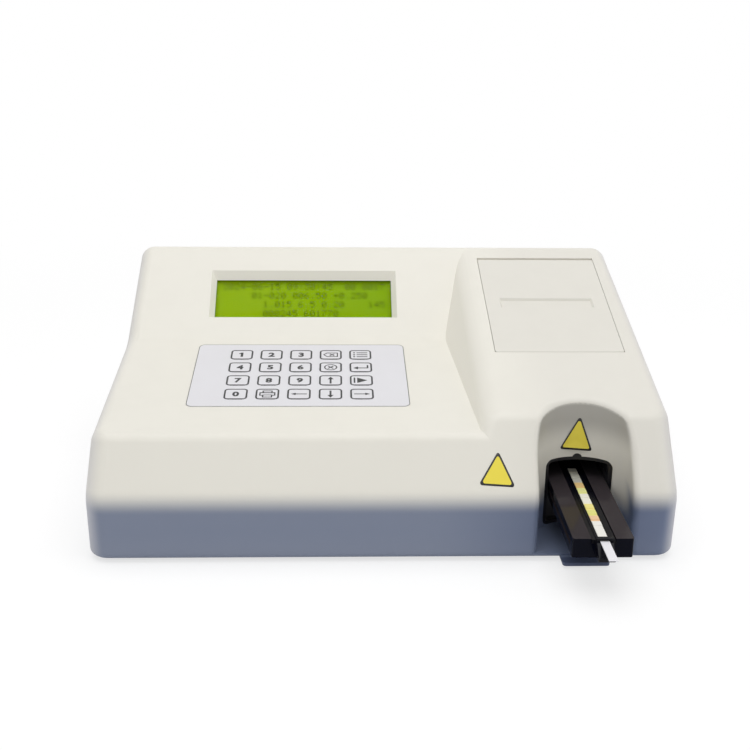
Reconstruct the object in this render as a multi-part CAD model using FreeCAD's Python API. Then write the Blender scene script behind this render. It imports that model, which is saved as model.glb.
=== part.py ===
"""Bench-top urine strip analyser: a wedge-shaped two-shell case with a sloping
display and membrane keypad on the left, a raised housing with a receipt
printer on the right, and a motor-driven strip tray in an alcove at the front.

Millimetres. +X is to the right, +Y to the back and +Z up. The origin is on the
bench, under the centre of the case. The tray is modelled run out.
"""
import FreeCAD, Part
import math
import os

V = FreeCAD.Vector
X_AXIS = V(1, 0, 0)
Y_AXIS = V(0, 1, 0)
Z_AXIS = V(0, 0, 1)

# Case outline, measured back from the front of the belly line and up from the underside
CASE_WIDTH = 340.0
BELLY_HEIGHT = 37.2
FRONT_RUN = 21.2
FRONT_RISE = 31.7
KEYPAD_RUN = 130.8
KEYPAD_RISE = 15.7
DISPLAY_RUN = 63.4
DISPLAY_RISE = 46.2
TOP_LAND = 12.6
BACK_LEAN = 1.1
CREST_RUN = 27.4

# Shift back of the finished pieces that puts the middle of the whole length, strip included, at zero
ORIGIN_SHIFT = 28.65

# Draft of the sides and tuck of the foot
SIDE_DRAFT = 3.5
FOOT_TUCK = 0.5
FOOT_DROP = 2.0

# Case walls and rounded edges
WALL = 3.0
BELLY_RADIUS = 20.0
VALLEY_RADIUS = 25.0
EDGE_RADIUS = 9.0
CORNER_RADIUS = 12.0
BACK_CORNER_RADIUS = 9.5
CREASE_RADIUS = 12.0
WALL_TOP_RADIUS = 14.0
BASE_RADIUS = 4.0
LIP_HEIGHT = 2.4
LIP_GAP = 0.15
TOUCH_GAP = 0.3

# Raised housing on the right, measured in from the right side of the case
HOUSING_WIDTH = 109.5
HOUSING_WALL_LEAN = 28.0
HOUSING_OVERLAP = 20.0

# Strip lane and the alcove that it runs out of, measured in from the right side
LANE_INSET = 53.0
ALCOVE_INSET = 54.2
ALCOVE_RADIUS = 27.0
ALCOVE_AXIS_RUN = 15.0
ALCOVE_RIM_RADIUS = 4.0
MOUTH_WIDTH = 39.5
MOUTH_BOTTOM = 3.0
MOUTH_TOP = 46.0
MOUTH_RADIUS = 4.0
MOUTH_NOTCH_RADIUS = 3.0
DRIP_LIP_WIDTH = 27.0
DRIP_LIP_REACH = 9.0
DRIP_LIP_THICKNESS = 2.0
DRIP_LIP_CORNER = 2.0

# Strip tray, its rack of teeth and the strip
TRAY_WIDTH = 33.5
TRAY_HEIGHT = 11.3
TRAY_TOP = 34.7
TRAY_REACH = 38.3
TRAY_LENGTH = 120.0
TRAY_TRAVEL = 78.0
TRAY_CHANNEL_WIDTH = 13.5
TRAY_CHANNEL_DEPTH = 3.0
TRAY_GROOVE_HEIGHT = 3.0
TRAY_GROOVE_DEPTH = 1.5
TRAY_GROOVE_START = 6.0
TRAY_SKIN = 2.0
RUN_GAP = 0.4
STRIP_WIDTH = 5.0
STRIP_LENGTH = 117.0
STRIP_THICKNESS = 0.35
STRIP_TAIL = 24.2
PAD_COUNT = 11
PAD_PITCH = 7.1
PAD_LENGTH = 5.0
PAD_THICKNESS = 0.25
INSERT_GAP = 0.35
TONGUE_REACH = 11.0
TONGUE_WIDTH = 9.0
TONGUE_DROP = 6.0
HOLD_BAR_DEPTH = 2.6
HOLD_BAR_HEIGHT = 1.3
HOLD_BAR_LEG = 1.5
STRIP_RIDGE = 1.2

# Tray drive
RACK_MODULE = 0.8
RACK_FACE = 6.0
RACK_OFFSET = 8.5
PINION_TEETH = 18
PRESSURE_ANGLE = 20.0
BACKLASH = 0.14
DRIVE_RUN = 62.0
DRIVE_SHAFT_RADIUS = 2.5
MOTOR_RADIUS = 14.0
MOTOR_LENGTH = 19.0
MOTOR_SHAFT_OFFSET = 8.0
MOTOR_EAR_SPACING = 35.0
MOTOR_EAR_RADIUS = 3.5
MOTOR_EAR_THICKNESS = 0.8

# Tray guide
GUIDE_LEDGE = 4.0
GUIDE_LEDGE_THICKNESS = 2.6
GUIDE_LENGTH = 132.0
GUIDE_TOP_ABOVE_TRAY = 2.8
GUIDE_EAR = 9.0
GUIDE_EAR_THICKNESS = 3.0
GUIDE_EAR_RUNS = (92.0, 160.0)
BEZEL_LINING = 2.0

# Reading head over the tray and the sensor behind it
SENSOR_FLAG = 7.0
SENSOR_LENGTH = 6.0
SENSOR_WIDTH = 10.0
SENSOR_HEIGHT = 9.0
SENSOR_GAP = 3.2
SENSOR_STANDOFF = 1.5
SENSOR_SEAT_MARGIN = 3.2
BRIDGE_THICKNESS = 4.0
HEAD_RUN = 98.0
HEAD_LENGTH = 22.0
HEAD_HEIGHT = 20.0

# Display opening, measured in from the left side and down the slope from the crease
SCREEN_INSET = 60.0
SCREEN_WIDTH = 121.0
SCREEN_TOP = 25.7
SCREEN_HEIGHT = 34.3
SCREEN_BEVEL_SIDE = 3.4
SCREEN_BEVEL_TOP = 5.6
SCREEN_BEVEL_BOTTOM = 0.9
SCREEN_DEPTH = 4.0
SCREEN_SURROUND = 5.0
WINDOW_THICKNESS = 1.5
LCD_GLASS_THICKNESS = 1.8
LCD_MODULE_THICKNESS = 6.0
LCD_MARGIN = 3.0

# Membrane keypad, measured in from the left side and down the slope from the valley
KEYPAD_INSET = 52.9
KEYPAD_WIDTH = 134.3
KEYPAD_TOP = 10.5
KEYPAD_HEIGHT = 87.0
KEYPAD_CORNER = 4.0
OVERLAY_THICKNESS = 0.5
OVERLAY_PROUD = 0.15
SWITCH_LAYER_THICKNESS = 0.8
KEY_COLUMNS = 5
KEY_ROWS = 4
KEY_PITCH_X = 19.2
KEY_PITCH_Y = 18.45
KEY_WIDTH = 14.3
KEY_HEIGHT = 13.6
KEY_CORNER = 2.6
KEY_EMBOSS = 0.2
FIRST_KEY_IN = 28.8
FIRST_KEY_DOWN = 26.4
KEYPAD_TAIL_IN = 21.2
KEYPAD_TAIL_DOWN = 5.0
KEYPAD_TAIL_WIDTH = 12.0
KEYPAD_TAIL_THICKNESS = 0.6
KEYPAD_TAIL_REACH = 14.0
KEYPAD_TAIL_SLOT_WIDTH = 16.0
KEYPAD_TAIL_SLOT_HEIGHT = 2.0

# Receipt printer, measured in from the right side and down the slope from the crease
LID_INSET = 17.2
LID_WIDTH = 80.9
LID_TOP = 12.8
LID_LENGTH = 117.0
LID_THICKNESS = 2.4
LID_GAP = 0.35
LID_LEDGE = 3.0
LID_FRAME_DEPTH = 10.0
LID_FRAME_MARGIN = 5.0
LATCH_WIDTH = 30.0
LATCH_DEPTH = 2.6
LATCH_THICKNESS = 2.0
HINGE_RADIUS = 3.0
HINGE_PIN_RADIUS = 1.2
HINGE_PIN_LENGTH = 3.0
PIN_GAP = 0.05
SLOT_RECESS_WIDTH = 59.5
SLOT_RECESS_LENGTH = 9.9
SLOT_RECESS_DOWN = 54.8
SLOT_RECESS_DEPTH = 1.3
SLOT_RECESS_BEVEL = 1.2
SLOT_WIDTH = 58.0
SLOT_OPENING = 1.8
TEAR_BAR_THICKNESS = 0.5
TEAR_BAR_HEIGHT = 3.0
TEAR_TOOTH = 1.5
PAPER_WIDTH = 57.0
PAPER_RADIUS = 19.0
PAPER_CORE_RADIUS = 6.0
PAPER_AHEAD = 36.4
TUB_WALL = 2.0
TUB_FLOOR_Z = 66.0
CRADLE_GAP = 1.5
CRADLE_THICKNESS = 1.6
PLATEN_RADIUS = 5.0
PLATEN_LENGTH = 54.0
PLATEN_SHAFT_RADIUS = 1.5
PLATEN_DEPTH = 12.0
CHEEK_THICKNESS = 2.0
CHASSIS_AHEAD = 19.0
CHASSIS_BEHIND = 8.5
CHASSIS_ABOVE = 4.5
CHASSIS_BELOW = 16.0
THERMAL_HEAD_THICKNESS = 2.0
THERMAL_HEAD_HEIGHT = 13.0
FEED_MODULE = 0.5
PLATEN_GEAR_TEETH = 30
FEED_PINION_TEETH = 12
FEED_GEAR_FACE = 3.0
FEED_MOTOR_RADIUS = 5.0
FEED_MOTOR_LENGTH = 18.0
FEED_SHAFT_RADIUS = 1.0

# Boards and mains parts inside the lower case
BOARD_THICKNESS = 1.6
BOARD_CLEARANCE = 7.0
POST_RADIUS = 3.5
BOARD_RUN = 56.0
BOARD_INSET = 14.0
BOARD_SPACING = 12.0
BOARD_SCREW_INSET = 5.0
MAIN_BOARD_DEPTH = 120.0
POWER_BOARD_WIDTH = 66.0
POWER_BOARD_DEPTH = 76.0
MOTOR_CLEARANCE = 17.6
TRANSFORMER_AHEAD = 53.0
TRANSFORMER_WIDTH = 54.0
TRANSFORMER_DEPTH = 36.0
TRANSFORMER_HEIGHT = 44.0
STRAP_REACH = 9.0
STRAP_THICKNESS = 1.5
WINDING_GROWTH = 8.0

# Sockets and switch in the back wall, measured in from the left side
INLET_INSET = 48.0
SWITCH_SPACING = 40.0
SERIAL_IN = 102.0
SOCKET_Z = 21.0
SOCKET_RECESS = 0.8
INLET_FLANGE_WIDTH = 50.0
INLET_FLANGE_HEIGHT = 22.5
INLET_FLANGE_THICKNESS = 2.0
INLET_BODY_WIDTH = 27.6
INLET_BODY_HEIGHT = 19.8
INLET_BODY_DEPTH = 20.0
INLET_CAVITY_WIDTH = 24.6
INLET_CAVITY_HEIGHT = 16.6
INLET_CAVITY_DEPTH = 17.0
INLET_CHAMFER = 4.5
INLET_SCREW_SPACING = 40.0
INLET_SCREW_HEAD = 2.8
BLADE_LENGTH = 11.0
BLADE_WIDTH = 4.0
BLADE_THICKNESS = 2.0
BLADE_PITCH = 7.0
SWITCH_WIDTH = 15.0
SWITCH_HEIGHT = 21.0
SWITCH_DEPTH = 16.0
SWITCH_FLANGE = 1.6
ROCKER_RADIUS = 8.4
ROCKER_WIDTH = 10.6
ROCKER_TILT = 10.0
ROCKER_PIN_RADIUS = 1.0
SERIAL_FLANGE_WIDTH = 30.8
SERIAL_FLANGE_HEIGHT = 12.5
SERIAL_SHELL_WIDTH = 17.0
SERIAL_SHELL_HEIGHT = 8.4
SERIAL_SHELL_REACH = 6.0
JACK_POST_SPACING = 25.0
JACK_POST_RADIUS = 2.3
JACK_POST_BORE = 1.2
SERIAL_PIN_RADIUS = 0.6
SERIAL_PIN_PITCH = 2.75
SERIAL_ROW_PITCH = 2.8
VENT_COUNT = 12
VENT_PITCH = 6.0
VENT_WIDTH = 2.4
VENT_LENGTH = 26.0
BACK_VENT_RISE = 22.0

# Feet and screws
FOOT_RADIUS = 8.0
FOOT_THICKNESS = 3.0
FOOT_INSET_X = 22.0
FOOT_INSET_RUN = 22.0
SCREW_RADIUS = 1.5
SCREW_HEAD_RADIUS = 3.0
SCREW_HEAD_HEIGHT = 2.2
SCREW_LENGTH = 16.0
SCREW_GAP = 0.1
SCREW_SEAT = 12.0
BOARD_SCREW_RADIUS = 1.2
BOARD_SCREW_HEAD = 2.5
CASE_POST_RADIUS = 5.0
CASE_POST_JOINT = 22.0
SCREW_INSET = 12.0
SCREW_FRONT_RUN = 28.0
SCREW_RIGHT_RUN = 48.0
SCREW_BACK_AHEAD = 33.0
SCREW_MIDDLE_AHEAD = 24.0
SCREW_FRONT_X = -30.0
SCREW_BACK_X = 28.0

# Worked-out places
HALF_WIDTH = CASE_WIDTH / 2
TOP_RUN = FRONT_RUN + KEYPAD_RUN + DISPLAY_RUN
CASE_DEPTH = TOP_RUN + TOP_LAND + BACK_LEAN
CASE_HEIGHT = BELLY_HEIGHT + FRONT_RISE + KEYPAD_RISE + DISPLAY_RISE
FRONT_Y = -CASE_DEPTH / 2
BACK_Y = CASE_DEPTH / 2
UNDERSIDE = FOOT_DROP
PARTING = UNDERSIDE + BELLY_HEIGHT
FLOOR_TOP = UNDERSIDE + WALL
CREST_RISE = FRONT_RISE * CREST_RUN / FRONT_RUN
KEYPAD_SLOPE = math.degrees(math.atan2(KEYPAD_RISE, KEYPAD_RUN))
DISPLAY_SLOPE = math.degrees(math.atan2(DISPLAY_RISE, DISPLAY_RUN))
HOUSING_SLOPE = math.degrees(math.atan2(CASE_HEIGHT - BELLY_HEIGHT - CREST_RISE, TOP_RUN - CREST_RUN))
HOUSING_EDGE_X = HALF_WIDTH - HOUSING_WIDTH
LANE_X = HALF_WIDTH - LANE_INSET
ALCOVE_X = HALF_WIDTH - ALCOVE_INSET
SCREEN_LEFT_X = SCREEN_INSET - HALF_WIDTH
SCREEN_RIGHT_X = SCREEN_LEFT_X + SCREEN_WIDTH
KEYPAD_LEFT_X = KEYPAD_INSET - HALF_WIDTH
KEYPAD_TAIL_X = KEYPAD_LEFT_X + KEYPAD_WIDTH - KEYPAD_TAIL_IN
LID_LEFT_X = HALF_WIDTH - LID_INSET - LID_WIDTH
LID_CENTRE_X = LID_LEFT_X + LID_WIDTH / 2
TRAY_BOTTOM = TRAY_TOP - TRAY_HEIGHT
TRAY_FRONT = FRONT_Y - TRAY_REACH
TRAY_BACK = TRAY_FRONT + TRAY_LENGTH
PINION_PITCH_RADIUS = RACK_MODULE * PINION_TEETH / 2
RACK_PITCH_LINE = TRAY_BOTTOM - 1.5 * RACK_MODULE
DRIVE_Z = RACK_PITCH_LINE - PINION_PITCH_RADIUS
DRIVE_Y = FRONT_Y + DRIVE_RUN
RACK_X = LANE_X - RACK_OFFSET
ALCOVE_BACK = FRONT_Y + ALCOVE_AXIS_RUN + ALCOVE_RADIUS
SENSOR_Y = TRAY_BACK + TRAY_TRAVEL + SENSOR_STANDOFF
GUIDE_INNER = TRAY_WIDTH / 2 + RUN_GAP
GUIDE_OUTER = MOUTH_WIDTH / 2 - LIP_GAP
GUIDE_TOP = TRAY_TOP + GUIDE_TOP_ABOVE_TRAY
GUIDE_FRONT = ALCOVE_BACK
GUIDE_BACK = GUIDE_FRONT + GUIDE_LENGTH
LEDGE_TOP = TRAY_BOTTOM - RUN_GAP / 2
LEDGE_BOTTOM = LEDGE_TOP - GUIDE_LEDGE_THICKNESS
GUIDE_EAR_Z = LEDGE_BOTTOM - GUIDE_EAR_THICKNESS - 3.0
MOTOR_FACE_X = LANE_X - GUIDE_OUTER - MOTOR_EAR_THICKNESS
POWER_BOARD_X = BOARD_INSET - HALF_WIDTH
MAIN_BOARD_X = POWER_BOARD_X + POWER_BOARD_WIDTH + BOARD_SPACING
MAIN_BOARD_WIDTH = MOTOR_FACE_X - MOTOR_LENGTH - MOTOR_CLEARANCE - MAIN_BOARD_X
POWER_BOARD = (POWER_BOARD_X, BOARD_RUN, POWER_BOARD_WIDTH, POWER_BOARD_DEPTH)
MAIN_BOARD = (MAIN_BOARD_X, BOARD_RUN, MAIN_BOARD_WIDTH, MAIN_BOARD_DEPTH)
INLET_X = INLET_INSET - HALF_WIDTH
SWITCH_X = INLET_X + SWITCH_SPACING
SERIAL_X = MAIN_BOARD_X + SERIAL_IN
TRANSFORMER_RUN = CASE_DEPTH - TRANSFORMER_AHEAD
PAPER_Y = FRONT_Y + TOP_RUN - PAPER_AHEAD
SCREW_LEFT_X = SCREW_INSET - HALF_WIDTH
SCREW_RIGHT_X = HALF_WIDTH - SCREW_INSET
SCREW_PLACES = ((SCREW_LEFT_X, SCREW_FRONT_RUN), (SCREW_LEFT_X, CASE_DEPTH - SCREW_BACK_AHEAD),
                (SCREW_RIGHT_X, SCREW_RIGHT_RUN), (SCREW_RIGHT_X, CASE_DEPTH - SCREW_BACK_AHEAD),
                (SCREW_FRONT_X, SCREW_FRONT_RUN), (SCREW_BACK_X, CASE_DEPTH - SCREW_MIDDLE_AHEAD))
BIG = 600.0


def run_y(distance):
    """Y of a place that lies a distance back from the front of the belly."""
    return FRONT_Y + distance


def box(x0, x1, y0, y1, z0, z1):
    """Block between two corners."""
    return Part.makeBox(x1 - x0, y1 - y0, z1 - z0, V(x0, y0, z0))


def lane_box(side, a, b, y0, y1, z0, z1):
    """Block beside the strip lane, from a to b away from its middle on one side."""
    x0 = LANE_X + side * a
    x1 = LANE_X + side * b
    return box(min(x0, x1), max(x0, x1), y0, y1, z0, z1)


def rod(radius, start, direction, length):
    """Round bar from a point along a direction."""
    return Part.makeCylinder(radius, length, start, direction)


def fuse_all(shapes):
    """One solid from touching ones, with seams between flush faces removed."""
    whole = shapes[0]
    if len(shapes) > 1:
        whole = whole.multiFuse(shapes[1:])
    return whole.removeSplitter()


def corner_arc(before, corner, after, radius):
    """Start, middle and end of the arc that rounds a corner of an outline."""
    to_before = (before - corner).normalize()
    to_after = (after - corner).normalize()
    half = math.acos(max(-1.0, min(1.0, to_before.dot(to_after)))) / 2
    start = corner + to_before * (radius / math.tan(half))
    end = corner + to_after * (radius / math.tan(half))
    inward = (to_before + to_after).normalize()
    middle = corner + inward * (radius / math.sin(half) - radius)
    return start, middle, end


def rounded_outline(points, radii):
    """Closed wire through the points, with each corner rounded by its radius."""
    count = len(points)
    corners = []
    for index, radius in enumerate(radii):
        corner = points[index]
        if radius > 0:
            corners.append(corner_arc(points[index - 1], corner, points[(index + 1) % count], radius))
        else:
            corners.append((corner, None, corner))
    edges = []
    for index, (start, middle, end) in enumerate(corners):
        if middle is not None:
            edges.append(Part.Arc(start, middle, end).toShape())
        following = corners[(index + 1) % count][0]
        if (following - end).Length > 1e-6:
            edges.append(Part.makeLine(end, following))
    return Part.Wire(edges)


def prism(outline, vector):
    """Solid made by pushing a flat outline along a vector."""
    return Part.Face(outline).extrude(vector)


def inset_outline(points, distance):
    """Corners of a clockwise outline (seen with its first axis to the right) moved inwards."""
    count = len(points)
    moved = []
    for index in range(count):
        a = points[index - 1]
        b = points[index]
        c = points[(index + 1) % count]
        first = (b[0] - a[0], b[1] - a[1])
        second = (c[0] - b[0], c[1] - b[1])
        first_length = math.hypot(*first)
        second_length = math.hypot(*second)
        n1 = (first[1] / first_length, -first[0] / first_length)
        n2 = (second[1] / second_length, -second[0] / second_length)
        scale = distance / (1 + n1[0] * n2[0] + n1[1] * n2[1])
        moved.append((b[0] + (n1[0] + n2[0]) * scale, b[1] + (n1[1] + n2[1]) * scale))
    return moved


def inner_radius(radius, inset):
    """Radius of a rounded edge on a face that lies further inside."""
    return max(radius - inset, 1.0)


def round_edges(shape, radius, wanted):
    """Round those edges whose ends and middle pass a test."""
    chosen = []
    for edge in shape.Edges:
        middle = edge.valueAt((edge.FirstParameter + edge.LastParameter) / 2)
        if wanted(edge.Vertexes[0].Point, edge.Vertexes[-1].Point, middle):
            chosen.append(edge)
    if not chosen:
        return shape
    return shape.makeFillet(radius, chosen)


def slope_frame(run, rise, slope):
    """Placement of a sloping top face: local Y runs up the slope, local Z stands out of it."""
    return FreeCAD.Placement(V(0, run_y(run), UNDERSIDE + rise), FreeCAD.Rotation(X_AXIS, slope))


KEYPAD_FRAME = slope_frame(FRONT_RUN + KEYPAD_RUN, BELLY_HEIGHT + FRONT_RISE + KEYPAD_RISE, KEYPAD_SLOPE)
DISPLAY_FRAME = slope_frame(TOP_RUN, CASE_HEIGHT, DISPLAY_SLOPE)
HOUSING_FRAME = slope_frame(TOP_RUN, CASE_HEIGHT, HOUSING_SLOPE)


def placed(shape, frame):
    """Copy of a shape that was built on a sloping face, moved to its place."""
    moved = shape.copy()
    moved.Placement = frame.multiply(moved.Placement)
    return moved


def side_block(outline, radii, inset):
    """Full-width block with the case's side outline, its faces moved in by the inset."""
    points = inset_outline(outline, inset)
    wire = rounded_outline([V(-BIG / 2, run_y(y), UNDERSIDE + z) for y, z in points], radii)
    return prism(wire, V(BIG, 0, 0))


def end_block(side, inset):
    """Block as deep as the case whose outer side leans in, on the left (-1) or right (+1)."""
    top = CASE_HEIGHT + 20
    lean = math.tan(math.radians(SIDE_DRAFT)) * (top - BELLY_HEIGHT)
    outer = HALF_WIDTH - inset
    inner = HOUSING_EDGE_X - HOUSING_WIDTH if side > 0 else HOUSING_EDGE_X + HOUSING_OVERLAP
    points = [V(side * (outer - FOOT_TUCK), -BIG / 2, UNDERSIDE - 1),
              V(side * outer, -BIG / 2, PARTING),
              V(side * (outer - lean), -BIG / 2, UNDERSIDE + top),
              V(inner, -BIG / 2, UNDERSIDE + top),
              V(inner, -BIG / 2, UNDERSIDE - 1)]
    wire = rounded_outline(points, [0, 3 * BELLY_RADIUS, 0, 0, 0])
    return prism(wire, V(0, BIG, 0))


def near(value, target, slack=1.5):
    """True where two lengths agree."""
    return abs(value - target) < slack


def outside_edge(side, start, end):
    """True for an edge on the left (-1) or right (+1) side of the case."""
    return min(side * start.x, side * end.x) > HALF_WIDTH - 1.5 * EDGE_RADIUS


def front_corner(side):
    """Test for the upright edges of the case's front corner on one side."""
    def test(start, end, middle):
        tall = abs(start.z - end.z) > 0.5
        ahead = middle.y < run_y(CREST_RUN) and max(start.y, end.y) < run_y(CREST_RUN) + 1
        return outside_edge(side, start, end) and tall and ahead
    return test


def back_corner(side):
    """Test for the upright edges of the case's back corner on one side."""
    def test(start, end, middle):
        tall = abs(start.z - end.z) > 0.5
        return outside_edge(side, start, end) and tall and middle.y > run_y(TOP_RUN + TOP_LAND / 2)
    return test


def crease_edge(start, end, middle):
    """True for the edge across the top between a slope and the land behind it."""
    across = abs(start.x - end.x) > 60 and near(start.z, end.z)
    return across and middle.z > CASE_HEIGHT - EDGE_RADIUS and middle.y < run_y(TOP_RUN + TOP_LAND / 2)


def top_edge(side, crest_run):
    """Test for the edges that bound the top faces: one side, the crest and the back."""
    def test(start, end, middle):
        high = middle.z > PARTING + 10
        steep = abs(start.z - end.z) > 3 * abs(start.y - end.y)
        past_crest = middle.y > run_y(crest_run) - 3
        along_side = outside_edge(side, start, end) and high and not steep and past_crest
        across = abs(start.x - end.x) > 60 and near(start.z, end.z)
        crest = across and near(middle.y, run_y(crest_run))
        back = across and high and middle.y > run_y(TOP_RUN + TOP_LAND / 2)
        return along_side or crest or back
    return test


def bottom_edge(start, end, middle):
    """Test for the edges of the underside."""
    return near(start.z, end.z, 0.1) and middle.z < UNDERSIDE + WALL + 0.1 and abs(middle.x) < HALF_WIDTH


def console_form(inset):
    """Low left part: front face, keypad face and display face."""
    outline = [(FOOT_TUCK, 0), (0, BELLY_HEIGHT), (FRONT_RUN, BELLY_HEIGHT + FRONT_RISE),
               (FRONT_RUN + KEYPAD_RUN, BELLY_HEIGHT + FRONT_RISE + KEYPAD_RISE),
               (TOP_RUN, CASE_HEIGHT), (TOP_RUN + TOP_LAND, CASE_HEIGHT), (CASE_DEPTH, 0)]
    radii = [0, BELLY_RADIUS - inset, 0, VALLEY_RADIUS + inset, 0, 0, 0]
    form = side_block(outline, radii, inset).common(end_block(-1, inset))
    form = round_edges(form, inner_radius(CREASE_RADIUS, inset), crease_edge)
    form = round_edges(form, inner_radius(CORNER_RADIUS, inset), front_corner(-1))
    form = round_edges(form, inner_radius(BACK_CORNER_RADIUS, inset), back_corner(-1))
    return round_edges(form, inner_radius(EDGE_RADIUS, inset), top_edge(-1, FRONT_RUN))


def housing_wall_cutter(inset):
    """Everything to the left of the housing's leaning wall."""
    along = HOUSING_FRAME.Rotation.multVec(Y_AXIS)
    out = HOUSING_FRAME.Rotation.multVec(Z_AXIS)
    lean = math.radians(HOUSING_WALL_LEAN)
    edge_x = HOUSING_EDGE_X + inset / math.cos(lean)
    edge = V(edge_x, HOUSING_FRAME.Base.y, HOUSING_FRAME.Base.z) - along * (BIG / 2)
    down = X_AXIS * -math.sin(lean) - out * math.cos(lean)
    top = edge - down * 40
    foot = edge + down * 240
    points = [top, foot, foot - X_AXIS * BIG, top - X_AXIS * BIG, top]
    return prism(Part.makePolygon(points), along * BIG)


def housing_form(inset):
    """Raised right part that holds the printer, with its leaning left wall."""
    outline = [(FOOT_TUCK, 0), (0, BELLY_HEIGHT), (CREST_RUN, BELLY_HEIGHT + CREST_RISE),
               (TOP_RUN, CASE_HEIGHT), (TOP_RUN + TOP_LAND, CASE_HEIGHT), (CASE_DEPTH, 0)]
    radii = [0, BELLY_RADIUS - inset, 0, 0, 0, 0]
    form = side_block(outline, radii, inset).common(end_block(1, inset))
    form = form.cut(housing_wall_cutter(inset))
    form = round_edges(form, inner_radius(CREASE_RADIUS, inset), crease_edge)
    form = round_edges(form, inner_radius(CORNER_RADIUS, inset), front_corner(1))
    form = round_edges(form, inner_radius(BACK_CORNER_RADIUS, inset), back_corner(1))
    wall_top = V(HOUSING_EDGE_X + inset / math.cos(math.radians(HOUSING_WALL_LEAN)), 0, 0)

    def left_top(start, end, middle):
        along = abs(start.y - end.y) > abs(start.x - end.x) and middle.z > PARTING + 10
        return along and near(middle.x, wall_top.x, 2.0)

    form = round_edges(form, inner_radius(WALL_TOP_RADIUS, inset), left_top)
    return round_edges(form, inner_radius(EDGE_RADIUS, inset), top_edge(1, CREST_RUN))


def case_form(inset):
    """Whole outer form of the case, its faces moved in by the inset."""
    return fuse_all([console_form(inset), housing_form(inset)])


def outer_form():
    """Outside of the closed case, with the edges of the underside rounded."""
    return round_edges(case_form(0), BASE_RADIUS, bottom_edge)


def alcove_block(grow, bottom):
    """Upright U-shaped space of the alcove, from its floor upwards."""
    axis_y = run_y(ALCOVE_AXIS_RUN)
    radius = ALCOVE_RADIUS + grow
    back = rod(radius, V(ALCOVE_X, axis_y, bottom), Z_AXIS, BIG)
    front = box(ALCOVE_X - radius, ALCOVE_X + radius, axis_y - BIG, axis_y, bottom, bottom + BIG)
    return fuse_all([back, front])


def alcove_rim(start, end, middle):
    """Test for the edges where the alcove breaks through the outside of the case."""
    axis_y = run_y(ALCOVE_AXIS_RUN)
    if middle.z < FLOOR_TOP + 0.5:
        return False
    if middle.y > axis_y + 0.01:
        on_wall = near(math.hypot(middle.x - ALCOVE_X, middle.y - axis_y), ALCOVE_RADIUS, 0.05)
    else:
        on_wall = near(abs(middle.x - ALCOVE_X), ALCOVE_RADIUS, 0.05)
    seam = near(start.y, axis_y, 0.01) and near(end.y, axis_y, 0.01)
    return on_wall and not seam


def mouth_block(inset, y0, y1):
    """Round-cornered doorway of the tray with a half-round notch in its head."""
    half = MOUTH_WIDTH / 2 - inset
    bottom = UNDERSIDE + MOUTH_BOTTOM + inset
    top = UNDERSIDE + MOUTH_TOP - inset
    points = [V(LANE_X - half, y0, bottom), V(LANE_X - half, y0, top),
              V(LANE_X + half, y0, top), V(LANE_X + half, y0, bottom)]
    doorway = prism(rounded_outline(points, [MOUTH_RADIUS - inset] * 4), V(0, y1 - y0, 0))
    notch = rod(MOUTH_NOTCH_RADIUS - inset, V(LANE_X, y0, top - 1), Y_AXIS, y1 - y0)
    return fuse_all([doorway, notch])


def case_shell():
    """Both case halves in one: hollow, with the alcove and the doorway of the tray."""
    outside = outer_form().cut(alcove_block(0, FLOOR_TOP))
    outside = round_edges(outside, ALCOVE_RIM_RADIUS, alcove_rim)
    hollow = case_form(WALL).cut(alcove_block(WALL, UNDERSIDE - 1))
    doorway = mouth_block(0, run_y(ALCOVE_AXIS_RUN), ALCOVE_BACK + WALL + 1)
    return outside.cut(hollow).cut(doorway)


def above(level):
    """Everything higher than a level."""
    return box(-BIG, BIG, -BIG, BIG, level, level + BIG)


def joint_band(inset, bottom, top):
    """Inner part of the wall along the parting line, away from the alcove."""
    band = case_form(inset).cut(case_form(WALL))
    band = band.common(box(-BIG, BIG, -BIG, BIG, bottom, top))
    return band.cut(alcove_block(WALL, UNDERSIDE - 1))


def rounded_plate(x0, x1, y0, y1, z0, z1, radius):
    """Plate with rounded upright corners."""
    points = [V(x0, y0, z0), V(x0, y1, z0), V(x1, y1, z0), V(x1, y0, z0)]
    return prism(rounded_outline(points, [radius] * 4), V(0, 0, z1 - z0))


def screen_rectangle(left, right, top, bottom, level):
    """Wire of a rectangle on the display face, given down from the back top edge."""
    points = [V(left, -bottom, level), V(left, -top, level), V(right, -top, level), V(right, -bottom, level)]
    return Part.makePolygon(points + points[:1])


def screen_rim_depth():
    """Depth of the rim behind the display face."""
    return SCREEN_DEPTH + WINDOW_THICKNESS + LCD_GLASS_THICKNESS


def screen_cut():
    """Bevelled recess of the display, its opening and the seat of the window behind it."""
    bottom = SCREEN_TOP + SCREEN_HEIGHT
    outer = screen_rectangle(SCREEN_LEFT_X - SCREEN_BEVEL_SIDE, SCREEN_RIGHT_X + SCREEN_BEVEL_SIDE,
                             SCREEN_TOP - SCREEN_BEVEL_TOP, bottom + SCREEN_BEVEL_BOTTOM, 0)
    inner = screen_rectangle(SCREEN_LEFT_X, SCREEN_RIGHT_X, SCREEN_TOP, bottom, -SCREEN_DEPTH)
    bevel = Part.makeLoft([outer, inner], True, True)
    seat = box(SCREEN_LEFT_X - LCD_MARGIN, SCREEN_RIGHT_X + LCD_MARGIN, -bottom - LCD_MARGIN,
               -SCREEN_TOP + LCD_MARGIN, -screen_rim_depth() - 1, -SCREEN_DEPTH)
    return placed(bevel, DISPLAY_FRAME), placed(seat, DISPLAY_FRAME)


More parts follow.
